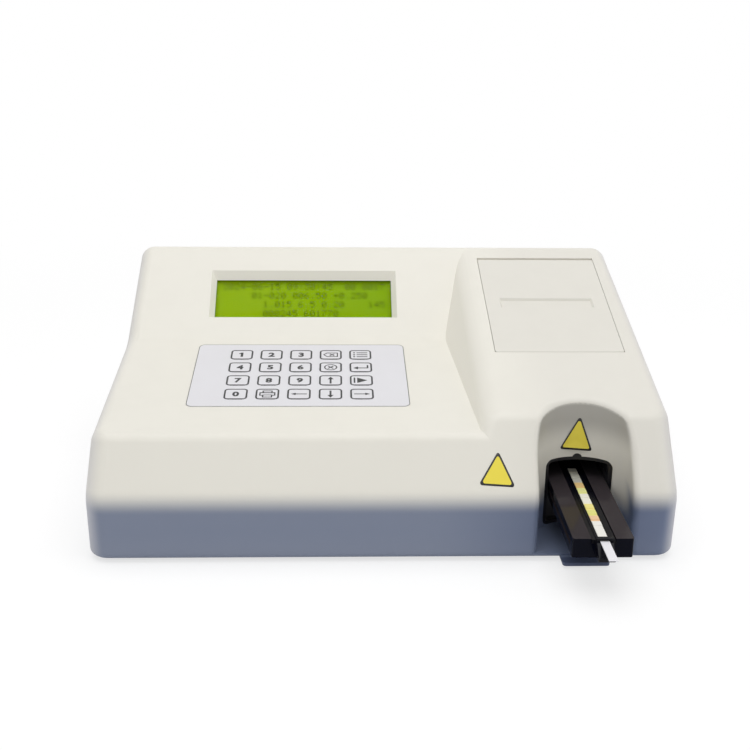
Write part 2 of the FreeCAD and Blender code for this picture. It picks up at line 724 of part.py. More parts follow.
def screen_surround():
    """Thick rim behind the display opening that holds the window and the display."""
    reach = LCD_MARGIN + SCREEN_SURROUND
    bottom = SCREEN_TOP + SCREEN_HEIGHT + LCD_MARGIN + 2
    rim = box(SCREEN_LEFT_X - reach, SCREEN_RIGHT_X + reach, -bottom, -SCREEN_TOP + reach,
              -screen_rim_depth(), -1)
    return placed(rim, DISPLAY_FRAME)


def lid_box(grow, z0, z1):
    """Block over the lid's outline, grown sideways, on the housing's top face."""
    return box(LID_LEFT_X - grow, LID_LEFT_X + LID_WIDTH + grow, -LID_TOP - LID_LENGTH - grow,
               -LID_TOP + grow, z0, z1)


def hinge_rod(radius, x0, x1):
    """Round bar on the hinge axis of the lid."""
    return rod(radius, V(x0, -LID_TOP - HINGE_RADIUS, -HINGE_RADIUS), X_AXIS, x1 - x0)


def lid_frame():
    """Thick rim around the paper bay that carries the lid."""
    rim = lid_box(LID_FRAME_MARGIN, -LID_FRAME_DEPTH, -1)
    return placed(rim, HOUSING_FRAME).common(case_form(WALL / 2))


def lid_cut():
    """Seat of the lid, channel of its hinge, pin holes and the opening of the paper bay."""
    right = LID_LEFT_X + LID_WIDTH
    seat = lid_box(LID_GAP, -LID_THICKNESS, 10)
    channel = hinge_rod(HINGE_RADIUS + LID_GAP, LID_LEFT_X - LID_GAP, right + LID_GAP)
    pins = hinge_rod(HINGE_PIN_RADIUS + PIN_GAP, LID_LEFT_X - HINGE_PIN_LENGTH - 0.4,
                     right + HINGE_PIN_LENGTH + 0.4)
    opening = box(LID_LEFT_X + LID_LEDGE, right - LID_LEDGE, -LID_TOP - LID_LENGTH + LID_LEDGE,
                  -LID_TOP - 2 * HINGE_RADIUS - LID_GAP - 1.5, -LID_FRAME_DEPTH - 1, 10)
    return placed(fuse_all([seat, channel, pins, opening]), HOUSING_FRAME)


def keypad_plate(inset, z0, z1):
    """Rounded plate over the keypad's outline, on the keypad face."""
    plate = rounded_plate(KEYPAD_LEFT_X + inset, KEYPAD_LEFT_X + KEYPAD_WIDTH - inset,
                          -KEYPAD_TOP - KEYPAD_HEIGHT + inset, -KEYPAD_TOP - inset, z0, z1, KEYPAD_CORNER)
    return placed(plate, KEYPAD_FRAME)


def tail_block(width, height, z0, z1):
    """Block about the middle of the keypad's tail, on the keypad face."""
    middle = -KEYPAD_TOP - KEYPAD_TAIL_DOWN
    block = box(KEYPAD_TAIL_X - width / 2, KEYPAD_TAIL_X + width / 2,
                middle - height / 2, middle + height / 2, z0, z1)
    return placed(block, KEYPAD_FRAME)


def keypad_tail_slot():
    """Slot through which the keypad's flat tail enters the case."""
    return tail_block(KEYPAD_TAIL_SLOT_WIDTH, KEYPAD_TAIL_SLOT_HEIGHT, -2 * WALL, 0)


def back_vents():
    """Row of upright slots high in the back wall, behind the transformer."""
    bottom = PARTING + BACK_VENT_RISE
    slots = []
    for index in range(VENT_COUNT):
        x = INLET_X + (index - (VENT_COUNT - 1) / 2) * VENT_PITCH
        slots.append(box(x - VENT_WIDTH / 2, x + VENT_WIDTH / 2, BACK_Y - BACK_LEAN - 10, BACK_Y + 5,
                         bottom, bottom + VENT_LENGTH))
    return Part.makeCompound(slots)


def upper_case():
    """Cream top shell, down to the parting line at the belly."""
    shell = case_shell().common(above(PARTING))
    shell = shell.cut(joint_band(WALL / 2, PARTING - 1, PARTING + LIP_HEIGHT + LIP_GAP))
    posts = []
    for x, run in SCREW_PLACES:
        posts.append(rod(CASE_POST_RADIUS, V(x, run_y(run), CASE_POST_JOINT), Z_AXIS, BIG))
    posts = Part.makeCompound(posts).common(case_form(WALL / 2))
    shell = fuse_all([shell, screen_surround(), lid_frame()] + posts.Solids)
    bevel, seat = screen_cut()
    pocket = keypad_plate(-LIP_GAP, OVERLAY_PROUD - OVERLAY_THICKNESS - SWITCH_LAYER_THICKNESS, 10)
    cuts = [bevel, seat, pocket, keypad_tail_slot(), lid_cut(), back_vents()]
    for x, run in SCREW_PLACES:
        cuts.append(rod(SCREW_RADIUS + PIN_GAP, V(x, run_y(run), CASE_POST_JOINT - 1), Z_AXIS, SCREW_LENGTH))
    return shell.cut(cuts)


def socket_places():
    """Middle, width and height of each flange in the back wall, with its hole's size."""
    return [(INLET_X, INLET_FLANGE_WIDTH, INLET_FLANGE_HEIGHT, INLET_BODY_WIDTH, INLET_BODY_HEIGHT),
            (SWITCH_X, SWITCH_WIDTH, SWITCH_HEIGHT, SWITCH_WIDTH - 2 * SWITCH_FLANGE,
             SWITCH_HEIGHT - 2 * SWITCH_FLANGE),
            (SERIAL_X, SERIAL_FLANGE_WIDTH, SERIAL_FLANGE_HEIGHT, SERIAL_SHELL_WIDTH + 2,
             SERIAL_SHELL_HEIGHT + 2)]


def back_box(x, width, height, y0, y1):
    """Block across the back wall, centred on a socket."""
    return box(x - width / 2, x + width / 2, y0, y1, SOCKET_Z - height / 2, SOCKET_Z + height / 2)


def board_corners(board):
    """Four screw places of a board that is given as x, run, width and depth."""
    x, run, width, depth = board
    inset = BOARD_SCREW_INSET
    return [(x + dx, run + dy) for dx in (inset, width - inset) for dy in (inset, depth - inset)]


def guide_ear_places():
    """Screw places of the tray guide, on both sides of the lane."""
    reach = GUIDE_OUTER + GUIDE_EAR / 2
    return [(LANE_X + side * reach, run) for side in (-1, 1) for run in GUIDE_EAR_RUNS]


def foot_places():
    """Middles of the four rubber feet."""
    x = HALF_WIDTH - FOOT_INSET_X
    return [("foot_front_left", -x, FOOT_INSET_RUN), ("foot_front_right", x, FOOT_INSET_RUN),
            ("foot_back_left", -x, CASE_DEPTH - FOOT_INSET_RUN),
            ("foot_back_right", x, CASE_DEPTH - FOOT_INSET_RUN)]


def drip_lip():
    """Thin lip of the lower case that reaches out under the tray."""
    half = DRIP_LIP_WIDTH / 2
    return rounded_plate(ALCOVE_X - half, ALCOVE_X + half,
                         FRONT_Y - DRIP_LIP_REACH, FRONT_Y + BASE_RADIUS + 2,
                         UNDERSIDE, UNDERSIDE + DRIP_LIP_THICKNESS, DRIP_LIP_CORNER)


def floor_vents():
    """Rows of slots in the underside, below the transformer."""
    slots = []
    for index in range(VENT_COUNT - 4):
        x = INLET_X + (index - (VENT_COUNT - 5) / 2) * VENT_PITCH
        y = run_y(POWER_BOARD[1] + POWER_BOARD[3] / 2)
        slots.append(box(x - VENT_WIDTH / 2, x + VENT_WIDTH / 2, y - VENT_LENGTH / 2, y + VENT_LENGTH / 2,
                         UNDERSIDE - 1, FLOOR_TOP + 1))
    return Part.makeCompound(slots)


def board_seat_z():
    """Level of the undersides of both boards."""
    return FLOOR_TOP + BOARD_CLEARANCE


def lower_case():
    """Blue-grey bottom shell with its screw posts, board posts and back sockets."""
    shell = case_shell().cut(above(PARTING))
    lip = joint_band(WALL / 2 + LIP_GAP, PARTING - 1, PARTING + LIP_HEIGHT)
    additions = [lip, drip_lip()]
    for x, run in SCREW_PLACES:
        additions.append(rod(CASE_POST_RADIUS, V(x, run_y(run), FLOOR_TOP - 1), Z_AXIS,
                             CASE_POST_JOINT - FLOOR_TOP + 1))
    small_posts = board_corners(MAIN_BOARD) + board_corners(POWER_BOARD)
    for x, run in small_posts:
        additions.append(rod(POST_RADIUS, V(x, run_y(run), FLOOR_TOP - 1), Z_AXIS, BOARD_CLEARANCE + 1))
    for x, run in guide_ear_places():
        additions.append(rod(POST_RADIUS, V(x, run_y(run), FLOOR_TOP - 1), Z_AXIS,
                             GUIDE_EAR_Z - FLOOR_TOP + 1))
    shell = shell.multiFuse(additions)
    cuts = [floor_vents()]
    gap = 2 * LIP_GAP
    for x, width, height, hole_width, hole_height in socket_places():
        cuts.append(back_box(x, width + gap, height + gap, flange_y(), BACK_Y + 5))
        cuts.append(back_box(x, hole_width + gap, hole_height + gap, BACK_Y - 15, BACK_Y + 5))
    for x, run in SCREW_PLACES:
        cuts.append(rod(SCREW_HEAD_RADIUS + 0.3, V(x, run_y(run), UNDERSIDE - 1), Z_AXIS,
                        SCREW_SEAT - UNDERSIDE + 1))
        cuts.append(rod(SCREW_RADIUS + SCREW_GAP, V(x, run_y(run), SCREW_SEAT - 1), Z_AXIS, 20))
    for x, run in small_posts + guide_ear_places():
        cuts.append(rod(BOARD_SCREW_RADIUS + PIN_GAP, V(x, run_y(run), FLOOR_TOP), Z_AXIS, 30))
    for _, x, run in foot_places():
        cuts.append(rod(FOOT_RADIUS + LIP_GAP, V(x, run_y(run), 0), Z_AXIS, FOOT_THICKNESS))
    return shell.cut(cuts)


def rubber_foot(x, run):
    """Rubber foot with a chamfered tread, glued into its recess."""
    foot = rod(FOOT_RADIUS, V(x, run_y(run), 0), Z_AXIS, FOOT_THICKNESS)
    tread = [edge for edge in foot.Edges if edge.Vertexes[0].Point.z < 0.01 and edge.Length > 10]
    return foot.makeChamfer(0.6, tread)


def case_screws():
    """Six pan-head screws that join the two case halves from below."""
    screws = []
    for x, run in SCREW_PLACES:
        y = run_y(run)
        head = rod(SCREW_HEAD_RADIUS, V(x, y, SCREW_SEAT - SCREW_HEAD_HEIGHT), Z_AXIS, SCREW_HEAD_HEIGHT)
        shank = rod(SCREW_RADIUS, V(x, y, SCREW_SEAT - 0.5), Z_AXIS, SCREW_LENGTH)
        drive = box(x - 1.6, x + 1.6, y - 0.4, y + 0.4, 0, SCREW_SEAT - 1.2)
        cross = box(x - 0.4, x + 0.4, y - 1.6, y + 1.6, 0, SCREW_SEAT - 1.2)
        screws.append(fuse_all([head, shank]).cut([drive, cross]))
    return Part.makeCompound(screws)


def small_screw(x, run, seat, length):
    """Pan-head screw that holds a board or a bracket from above."""
    head = rod(BOARD_SCREW_HEAD, V(x, run_y(run), seat), Z_AXIS, 1.6)
    shank = rod(BOARD_SCREW_RADIUS, V(x, run_y(run), seat - length), Z_AXIS, length + 0.5)
    slot = box(x - 3, x + 3, run_y(run) - 0.35, run_y(run) + 0.35, seat + 0.9, seat + 3)
    return fuse_all([head, shank]).cut(slot)


def board_screws():
    """Screws of both boards."""
    seat = board_seat_z() + BOARD_THICKNESS
    places = board_corners(MAIN_BOARD) + board_corners(POWER_BOARD)
    return Part.makeCompound([small_screw(x, run, seat, 6) for x, run in places])


def guide_screws():
    """Screws that hold the tray guide down."""
    seat = GUIDE_EAR_Z + GUIDE_EAR_THICKNESS
    return Part.makeCompound([small_screw(x, run, seat, 7) for x, run in guide_ear_places()])


def lcd_sheet(grow, z0, z1):
    """Flat block behind the display opening."""
    bottom = SCREEN_TOP + SCREEN_HEIGHT
    sheet = box(SCREEN_LEFT_X - grow, SCREEN_RIGHT_X + grow, -bottom - grow, -SCREEN_TOP + grow, z0, z1)
    return placed(sheet, DISPLAY_FRAME)


def lcd_window():
    """Clear window glued behind the display opening."""
    return lcd_sheet(LCD_MARGIN - LIP_GAP, -SCREEN_DEPTH - WINDOW_THICKNESS, -SCREEN_DEPTH)


def lcd_glass():
    """Liquid-crystal glass, just behind the window."""
    top = -SCREEN_DEPTH - WINDOW_THICKNESS - TOUCH_GAP
    return lcd_sheet(LCD_MARGIN - 1.0, top - LCD_GLASS_THICKNESS, top)


def lcd_module():
    """Display board with its sheet-metal back and driver chips."""
    top = -SCREEN_DEPTH - WINDOW_THICKNESS - TOUCH_GAP - LCD_GLASS_THICKNESS
    back = lcd_sheet(LCD_MARGIN - 1.0, top - LCD_MODULE_THICKNESS, top)
    level = top - LCD_MODULE_THICKNESS - BOARD_THICKNESS
    board = lcd_sheet(LCD_MARGIN + 3.0, level, level + BOARD_THICKNESS)
    chips = []
    for index in range(5):
        x = SCREEN_LEFT_X + 16 + index * 22
        chip = box(x - 7, x + 7, -SCREEN_TOP - 24, -SCREEN_TOP - 14, level - 2, level)
        chips.append(placed(chip, DISPLAY_FRAME))
    return fuse_all([back, board] + chips)


def key_places():
    """Middles of the keys: x and distance down the keypad face."""
    first = KEYPAD_LEFT_X + FIRST_KEY_IN
    return [(first + column * KEY_PITCH_X, FIRST_KEY_DOWN + row * KEY_PITCH_Y)
            for row in range(KEY_ROWS) for column in range(KEY_COLUMNS)]


def keypad_overlay():
    """Printed keypad film with twenty embossed keys."""
    film = keypad_plate(0, OVERLAY_PROUD - OVERLAY_THICKNESS, OVERLAY_PROUD)
    keys = []
    for x, down in key_places():
        key = rounded_plate(x - KEY_WIDTH / 2, x + KEY_WIDTH / 2,
                            -down - KEY_HEIGHT / 2, -down + KEY_HEIGHT / 2,
                            OVERLAY_PROUD - 0.1, OVERLAY_PROUD + KEY_EMBOSS, KEY_CORNER)
        keys.append(placed(key, KEYPAD_FRAME))
    return fuse_all([film] + keys)


def keypad_switch_layer():
    """Contact layer of the keypad with its flat tail through the case wall."""
    top = OVERLAY_PROUD - OVERLAY_THICKNESS
    layer = keypad_plate(LIP_GAP, top - SWITCH_LAYER_THICKNESS, top)
    tail = tail_block(KEYPAD_TAIL_WIDTH, KEYPAD_TAIL_THICKNESS, -KEYPAD_TAIL_REACH,
                      top - SWITCH_LAYER_THICKNESS / 2)
    return fuse_all([layer, tail])


def gear(teeth, module, face, backlash, tooth_first):
    """Spur gear about local Z with a tooth or a gap on its local Y axis."""
    pitch_radius = module * teeth / 2
    outer = pitch_radius + module
    root = pitch_radius - 1.25 * module
    base = pitch_radius * math.cos(math.radians(PRESSURE_ANGLE))
    pitch_half = math.pi / (2 * teeth) - backlash / (4 * pitch_radius)
    roll = math.sqrt((pitch_radius / base) ** 2 - 1)
    base_half = pitch_half + roll - math.atan(roll)

    def flank(radius):
        """Half the angle that the tooth covers at a radius."""
        if radius <= base:
            return base_half
        turn = math.sqrt((radius / base) ** 2 - 1)
        return base_half - (turn - math.atan(turn))

    first = max(base, root)
    radii = (first, (first + outer) / 2, outer)
    edges = []
    for index in range(teeth):
        middle = math.pi / 2 + 2 * math.pi * (index + (0.0 if tooth_first else 0.5)) / teeth
        step = 2 * math.pi / teeth

        def point(radius, angle):
            return V(radius * math.cos(angle), radius * math.sin(angle), 0)

        right = [point(r, middle - flank(r)) for r in radii]
        left = [point(r, middle + flank(r)) for r in reversed(radii)]
        foot_right = point(root, middle - flank(first))
        foot_left = point(root, middle + flank(first))
        next_foot = point(root, middle + step - flank(first))
        if root < base:
            edges.append(Part.makeLine(foot_right, right[0]))
        edges.append(Part.Arc(*right).toShape())
        edges.append(Part.Arc(right[2], point(outer, middle), left[0]).toShape())
        edges.append(Part.Arc(*left).toShape())
        if root < base:
            edges.append(Part.makeLine(left[2], foot_left))
        edges.append(Part.Arc(foot_left, point(root, middle + step / 2), next_foot).toShape())
    return prism(Part.Wire(edges), V(0, 0, face))


def across(shape, x, centre):
    """Turn a piece built about local Z so that its axis runs along X, with local Y up."""
    turn = FreeCAD.Rotation(V(0, 1, 0), V(0, 0, 1), V(1, 0, 0), "ZXY")
    moved = shape.copy()
    moved.Placement = FreeCAD.Placement(V(x, centre.y, centre.z), turn).multiply(moved.Placement)
    return moved


def drive_pinion():
    """Tray pinion, in mesh with the rack below the tray, with its hub."""
    blank = gear(PINION_TEETH, RACK_MODULE, RACK_FACE + 1, BACKLASH, False)
    hub = rod(DRIVE_SHAFT_RADIUS + 2, V(0, 0, -2), Z_AXIS, 2.5)
    bore = rod(DRIVE_SHAFT_RADIUS, V(0, 0, -5), Z_AXIS, RACK_FACE + 10)
    wheel = fuse_all([blank, hub]).cut(bore)
    return across(wheel, RACK_X - (RACK_FACE + 1) / 2, V(0, DRIVE_Y, DRIVE_Z))


def motor_shaft():
    """Steel shaft of the tray motor, through the pinion."""
    start = MOTOR_FACE_X - 3
    return rod(DRIVE_SHAFT_RADIUS, V(start, DRIVE_Y, DRIVE_Z), X_AXIS, RACK_X + RACK_FACE / 2 + 1.5 - start)


def tray_motor():
    """Geared stepping motor with its ears against the guide's left wall."""
    centre = V(MOTOR_FACE_X - MOTOR_LENGTH, DRIVE_Y, DRIVE_Z + MOTOR_SHAFT_OFFSET)
    can = rod(MOTOR_RADIUS, centre, X_AXIS, MOTOR_LENGTH)
    can = round_edges(can, 1.0, lambda a, b, m: near(a.x, centre.x, 0.1) and near(b.x, centre.x, 0.1))
    half = MOTOR_EAR_SPACING / 2
    ear_bar = box(MOTOR_FACE_X, MOTOR_FACE_X + MOTOR_EAR_THICKNESS, DRIVE_Y - half, DRIVE_Y + half,
                  centre.z - MOTOR_EAR_RADIUS, centre.z + MOTOR_EAR_RADIUS)
    ears = [ear_bar]
    holes = []
    for side in (-1, 1):
        place = V(MOTOR_FACE_X, DRIVE_Y + side * half, centre.z)
        ears.append(rod(MOTOR_EAR_RADIUS, place, X_AXIS, MOTOR_EAR_THICKNESS))
        holes.append(rod(BOARD_SCREW_RADIUS + PIN_GAP, place - X_AXIS, X_AXIS, 3))
    bore = rod(DRIVE_SHAFT_RADIUS + PIN_GAP, V(MOTOR_FACE_X - 3.5, DRIVE_Y, DRIVE_Z), X_AXIS, 10)
    lead_block = box(centre.x + 3, centre.x + 13, DRIVE_Y - 7, DRIVE_Y + 7, centre.z + MOTOR_RADIUS - 3,
                     centre.z + MOTOR_RADIUS + 3)
    return fuse_all([can, lead_block] + ears).cut(holes + [bore])


def rack_teeth():
    """Straight rack on the underside of the tray, a tooth over the pinion at rest."""
    pitch = math.pi * RACK_MODULE
    slope = math.tan(math.radians(PRESSURE_ANGLE))
    tip = RACK_PITCH_LINE - RACK_MODULE
    root = RACK_PITCH_LINE + 1.25 * RACK_MODULE
    half_tip = pitch / 4 - slope * RACK_MODULE
    half_root = pitch / 4 + slope * (root - RACK_PITCH_LINE)
    before = int((TRAY_TRAVEL + 4) / pitch)
    points = []
    for index in range(-before, 3):
        y = DRIVE_Y + index * pitch
        points += [V(0, y - half_root, root), V(0, y - half_tip, tip)]
        points += [V(0, y + half_tip, tip), V(0, y + half_root, root)]
    points = [V(0, points[0].y, TRAY_BOTTOM + 0.5)] + points + [V(0, points[-1].y, TRAY_BOTTOM + 0.5)]
    rack = prism(Part.makePolygon(points + points[:1]), V(RACK_FACE, 0, 0))
    rack.translate(V(RACK_X - RACK_FACE / 2, 0, 0))
    return rack


def strip_tray():
    """Sliding tray: two raised pads beside a channel, side grooves and a rack below."""
    half = TRAY_WIDTH / 2
    body = rounded_plate(LANE_X - half, LANE_X + half, TRAY_FRONT, TRAY_BACK, TRAY_BOTTOM, TRAY_TOP, 1.5)
    channel = box(LANE_X - TRAY_CHANNEL_WIDTH / 2, LANE_X + TRAY_CHANNEL_WIDTH / 2, TRAY_FRONT - 1,
                  TRAY_BACK - 10, TRAY_TOP - TRAY_CHANNEL_DEPTH, TRAY_TOP + 1)
    groove_z = TRAY_BOTTOM + (TRAY_HEIGHT - TRAY_GROOVE_HEIGHT) / 2
    cuts = [channel]
    for side in (-1, 1):
        cuts.append(lane_box(side, half - TRAY_GROOVE_DEPTH, half, TRAY_FRONT + TRAY_GROOVE_START,
                             TRAY_BACK + 1, groove_z, groove_z + TRAY_GROOVE_HEIGHT))
    pocket_left = RACK_X + RACK_FACE / 2 + TRAY_SKIN
    pocket_right = LANE_X + half - TRAY_GROOVE_DEPTH - TRAY_SKIN
    pocket_top = TRAY_TOP - TRAY_CHANNEL_DEPTH - TRAY_SKIN
    bays = 4
    bay = (TRAY_LENGTH - 2 * TRAY_SKIN - 10) / bays
    for index in range(bays):
        y = TRAY_FRONT + TRAY_SKIN + 4 + index * bay
        cuts.append(box(pocket_left, pocket_right, y, y + bay - TRAY_SKIN, TRAY_BOTTOM - 1, pocket_top))
    flag = box(LANE_X - 0.5, LANE_X + 0.5, TRAY_BACK - 1, TRAY_BACK + SENSOR_FLAG,
               TRAY_BOTTOM + 2, TRAY_BOTTOM + 7)
    return fuse_all([body, rack_teeth(), flag]).cut(cuts)


def strip_insert():
    """Lift-out strip holder in the tray's channel, with a tongue and a bar at its front."""
    half = TRAY_CHANNEL_WIDTH / 2 - INSERT_GAP
    floor = TRAY_TOP - TRAY_CHANNEL_DEPTH
    strip_floor = TRAY_TOP - STRIP_THICKNESS - PAD_THICKNESS
    back = TRAY_BACK - 10 - INSERT_GAP
    base = box(LANE_X - half, LANE_X + half, TRAY_FRONT, back, floor, strip_floor)
    groove_half = STRIP_WIDTH / 2 + INSERT_GAP
    additions = [base]
    for side in (-1, 1):
        additions.append(lane_box(side, groove_half, groove_half + STRIP_RIDGE, TRAY_FRONT, back,
                                  strip_floor - 0.5, TRAY_TOP - 0.1))
    reach = groove_half + STRIP_RIDGE
    stop_y = strip_back() + INSERT_GAP
    stop = box(LANE_X - reach, LANE_X + reach, stop_y, stop_y + 1.5, strip_floor - 0.5, TRAY_TOP - 0.1)
    tongue_half = TONGUE_WIDTH / 2
    side_view = [V(0, TRAY_FRONT + 1, floor), V(0, TRAY_FRONT + 1, strip_floor),
                 V(0, TRAY_FRONT - 4, strip_floor),
                 V(0, TRAY_FRONT - TONGUE_REACH, strip_floor - TONGUE_DROP),
                 V(0, TRAY_FRONT - TONGUE_REACH, strip_floor - TONGUE_DROP - 2),
                 V(0, TRAY_FRONT - 0.3, floor - TONGUE_DROP), V(0, TRAY_FRONT - 0.3, floor)]
    tongue = prism(rounded_outline(side_view, [0, 0, 3, 0.8, 0.8, 0, 0]), V(TONGUE_WIDTH, 0, 0))
    tongue.translate(V(LANE_X - tongue_half, 0, 0))
    bar_z = TRAY_TOP + 0.25
    bar = box(LANE_X - tongue_half, LANE_X + tongue_half, TRAY_FRONT - HOLD_BAR_DEPTH, TRAY_FRONT, bar_z,
              bar_z + HOLD_BAR_HEIGHT)
    bar = bar.makeFillet(0.5, [edge for edge in bar.Edges if near(edge.Length, TONGUE_WIDTH, 0.01)
                               and edge.Vertexes[0].Point.z > bar_z + 1])
    legs = []
    for side in (-1, 1):
        legs.append(lane_box(side, tongue_half - HOLD_BAR_LEG, tongue_half, TRAY_FRONT - HOLD_BAR_DEPTH,
                             TRAY_FRONT, strip_floor - 0.5, bar_z + 0.3))
    return fuse_all(additions + [stop, tongue, bar] + legs)


def strip_front():
    """Y of the dry tail end of the strip."""
    return TRAY_FRONT - STRIP_TAIL


def strip_back():
    """Y of the end of the strip inside the tray."""
    return strip_front() + STRIP_LENGTH


def test_strip():
    """Plastic strip with its row of reagent pads."""
    bottom = TRAY_TOP - STRIP_THICKNESS - PAD_THICKNESS
    half = STRIP_WIDTH / 2
    carrier = box(LANE_X - half, LANE_X + half, strip_front(), strip_back(),
                  bottom, bottom + STRIP_THICKNESS)
    pads = []
    for index in range(PAD_COUNT):
        y = strip_back() - 1 - PAD_LENGTH - index * PAD_PITCH
        pads.append(box(LANE_X - half, LANE_X + half, y, y + PAD_LENGTH,
                        bottom + STRIP_THICKNESS - 0.05, TRAY_TOP))
    return fuse_all([carrier] + pads)


def tray_guide():
    """Black moulding: doorway lining, two rails with ledges and ribs, ears and a back bridge."""
    y0 = GUIDE_FRONT - 4
    pieces = []
    lining = mouth_block(LIP_GAP, y0 - 8, GUIDE_FRONT + WALL + 5)
    hole = mouth_block(LIP_GAP + BEZEL_LINING, y0 - 9, GUIDE_FRONT + WALL + 6)
    pieces.append(lining.cut(hole).cut(alcove_block(TOUCH_GAP, FLOOR_TOP - 1)))
    sill = mouth_block(LIP_GAP, GUIDE_FRONT + 2, GUIDE_FRONT + WALL + 3)
    pieces.append(sill.cut(above(LEDGE_BOTTOM)))
    groove_z = TRAY_BOTTOM + (TRAY_HEIGHT - TRAY_GROOVE_HEIGHT) / 2
    rib_start = TRAY_FRONT + TRAY_TRAVEL + TRAY_GROOVE_START + RUN_GAP
    for side in (-1, 1):
        pieces.append(lane_box(side, GUIDE_INNER, GUIDE_OUTER, y0, GUIDE_BACK, LEDGE_BOTTOM, GUIDE_TOP))
        pieces.append(lane_box(side, GUIDE_INNER - GUIDE_LEDGE, GUIDE_OUTER, y0 + 2, GUIDE_BACK,
                               LEDGE_BOTTOM, LEDGE_TOP))
        pieces.append(lane_box(side, GUIDE_INNER - TRAY_GROOVE_DEPTH, GUIDE_OUTER, rib_start, GUIDE_BACK,
                               groove_z + RUN_GAP, groove_z + TRAY_GROOVE_HEIGHT - RUN_GAP))
        for run in GUIDE_EAR_RUNS:
            y1 = run_y(run) - GUIDE_EAR / 2
            y2 = run_y(run) + GUIDE_EAR / 2
            ear_top = GUIDE_EAR_Z + GUIDE_EAR_THICKNESS
            pieces.append(lane_box(side, GUIDE_OUTER - 1, GUIDE_OUTER + GUIDE_EAR, y1, y2,
                                   GUIDE_EAR_Z, ear_top))
            pieces.append(lane_box(side, GUIDE_INNER, GUIDE_OUTER, y1, y2, GUIDE_EAR_Z, LEDGE_TOP))
    pieces.append(box(LANE_X - GUIDE_OUTER, LANE_X + GUIDE_OUTER, SENSOR_Y - SENSOR_SEAT_MARGIN,
                      max(GUIDE_BACK, SENSOR_Y + SENSOR_LENGTH + SENSOR_SEAT_MARGIN),
                      LEDGE_BOTTOM - BRIDGE_THICKNESS, LEDGE_BOTTOM))
    cuts = []
    for x, run in guide_ear_places():
        cuts.append(rod(BOARD_SCREW_RADIUS + SCREW_GAP, V(x, run_y(run), GUIDE_EAR_Z - 1), Z_AXIS, 10))
    for side in (-1, 1):
        place = V(LANE_X - GUIDE_OUTER - 1, DRIVE_Y + side * MOTOR_EAR_SPACING / 2,
                  DRIVE_Z + MOTOR_SHAFT_OFFSET)
        cuts.append(rod(BOARD_SCREW_RADIUS, place, X_AXIS, 3))
    return fuse_all(pieces).cut(cuts)


def optical_head():
    """Reading head that bridges the lane on the guide's walls."""
    y0 = run_y(HEAD_RUN)
    low = box(LANE_X - GUIDE_OUTER, LANE_X + GUIDE_OUTER, y0, y0 + HEAD_LENGTH, GUIDE_TOP, GUIDE_TOP + 5)
    points = [V(LANE_X - GUIDE_OUTER + 3, y0, GUIDE_TOP + 4), V(LANE_X - 10, y0, GUIDE_TOP + HEAD_HEIGHT),
              V(LANE_X + 10, y0, GUIDE_TOP + HEAD_HEIGHT), V(LANE_X + GUIDE_OUTER - 3, y0, GUIDE_TOP + 4)]
    tower = prism(rounded_outline(points, [0, 2, 2, 0]), V(0, HEAD_LENGTH, 0))
    aperture = rod(3.0, V(LANE_X, y0 + HEAD_LENGTH / 2, GUIDE_TOP - 1), Z_AXIS, 12)
    return fuse_all([low, tower]).cut(aperture)


def head_board():
    """Sensor board on top of the reading head."""
    y0 = run_y(HEAD_RUN)
    top = GUIDE_TOP + HEAD_HEIGHT
    board = box(LANE_X - 9, LANE_X + 9, y0 + 1, y0 + HEAD_LENGTH - 1, top, top + BOARD_THICKNESS)
    connector = box(LANE_X - 6, LANE_X + 6, y0 + HEAD_LENGTH - 7, y0 + HEAD_LENGTH - 2, top + 1, top + 5)
    return fuse_all([board, connector])


def home_sensor():
    """Forked light sensor that the tray's flag enters when the tray is in."""
    end = SENSOR_Y + SENSOR_LENGTH
    half = SENSOR_WIDTH / 2
    block = box(LANE_X - half, LANE_X + half, SENSOR_Y, end, LEDGE_BOTTOM, TRAY_BOTTOM + SENSOR_HEIGHT)
    fork = box(LANE_X - SENSOR_GAP / 2, LANE_X + SENSOR_GAP / 2, SENSOR_Y - 1, end + 1, TRAY_BOTTOM + 0.5,
               TRAY_BOTTOM + SENSOR_HEIGHT + 1)
    return block.cut(fork)


def slit_place():
    """Distance down the housing's top face to the middle of the paper slit."""
    return LID_TOP + SLOT_RECESS_DOWN + SLOT_RECESS_LENGTH - SLOT_OPENING / 2


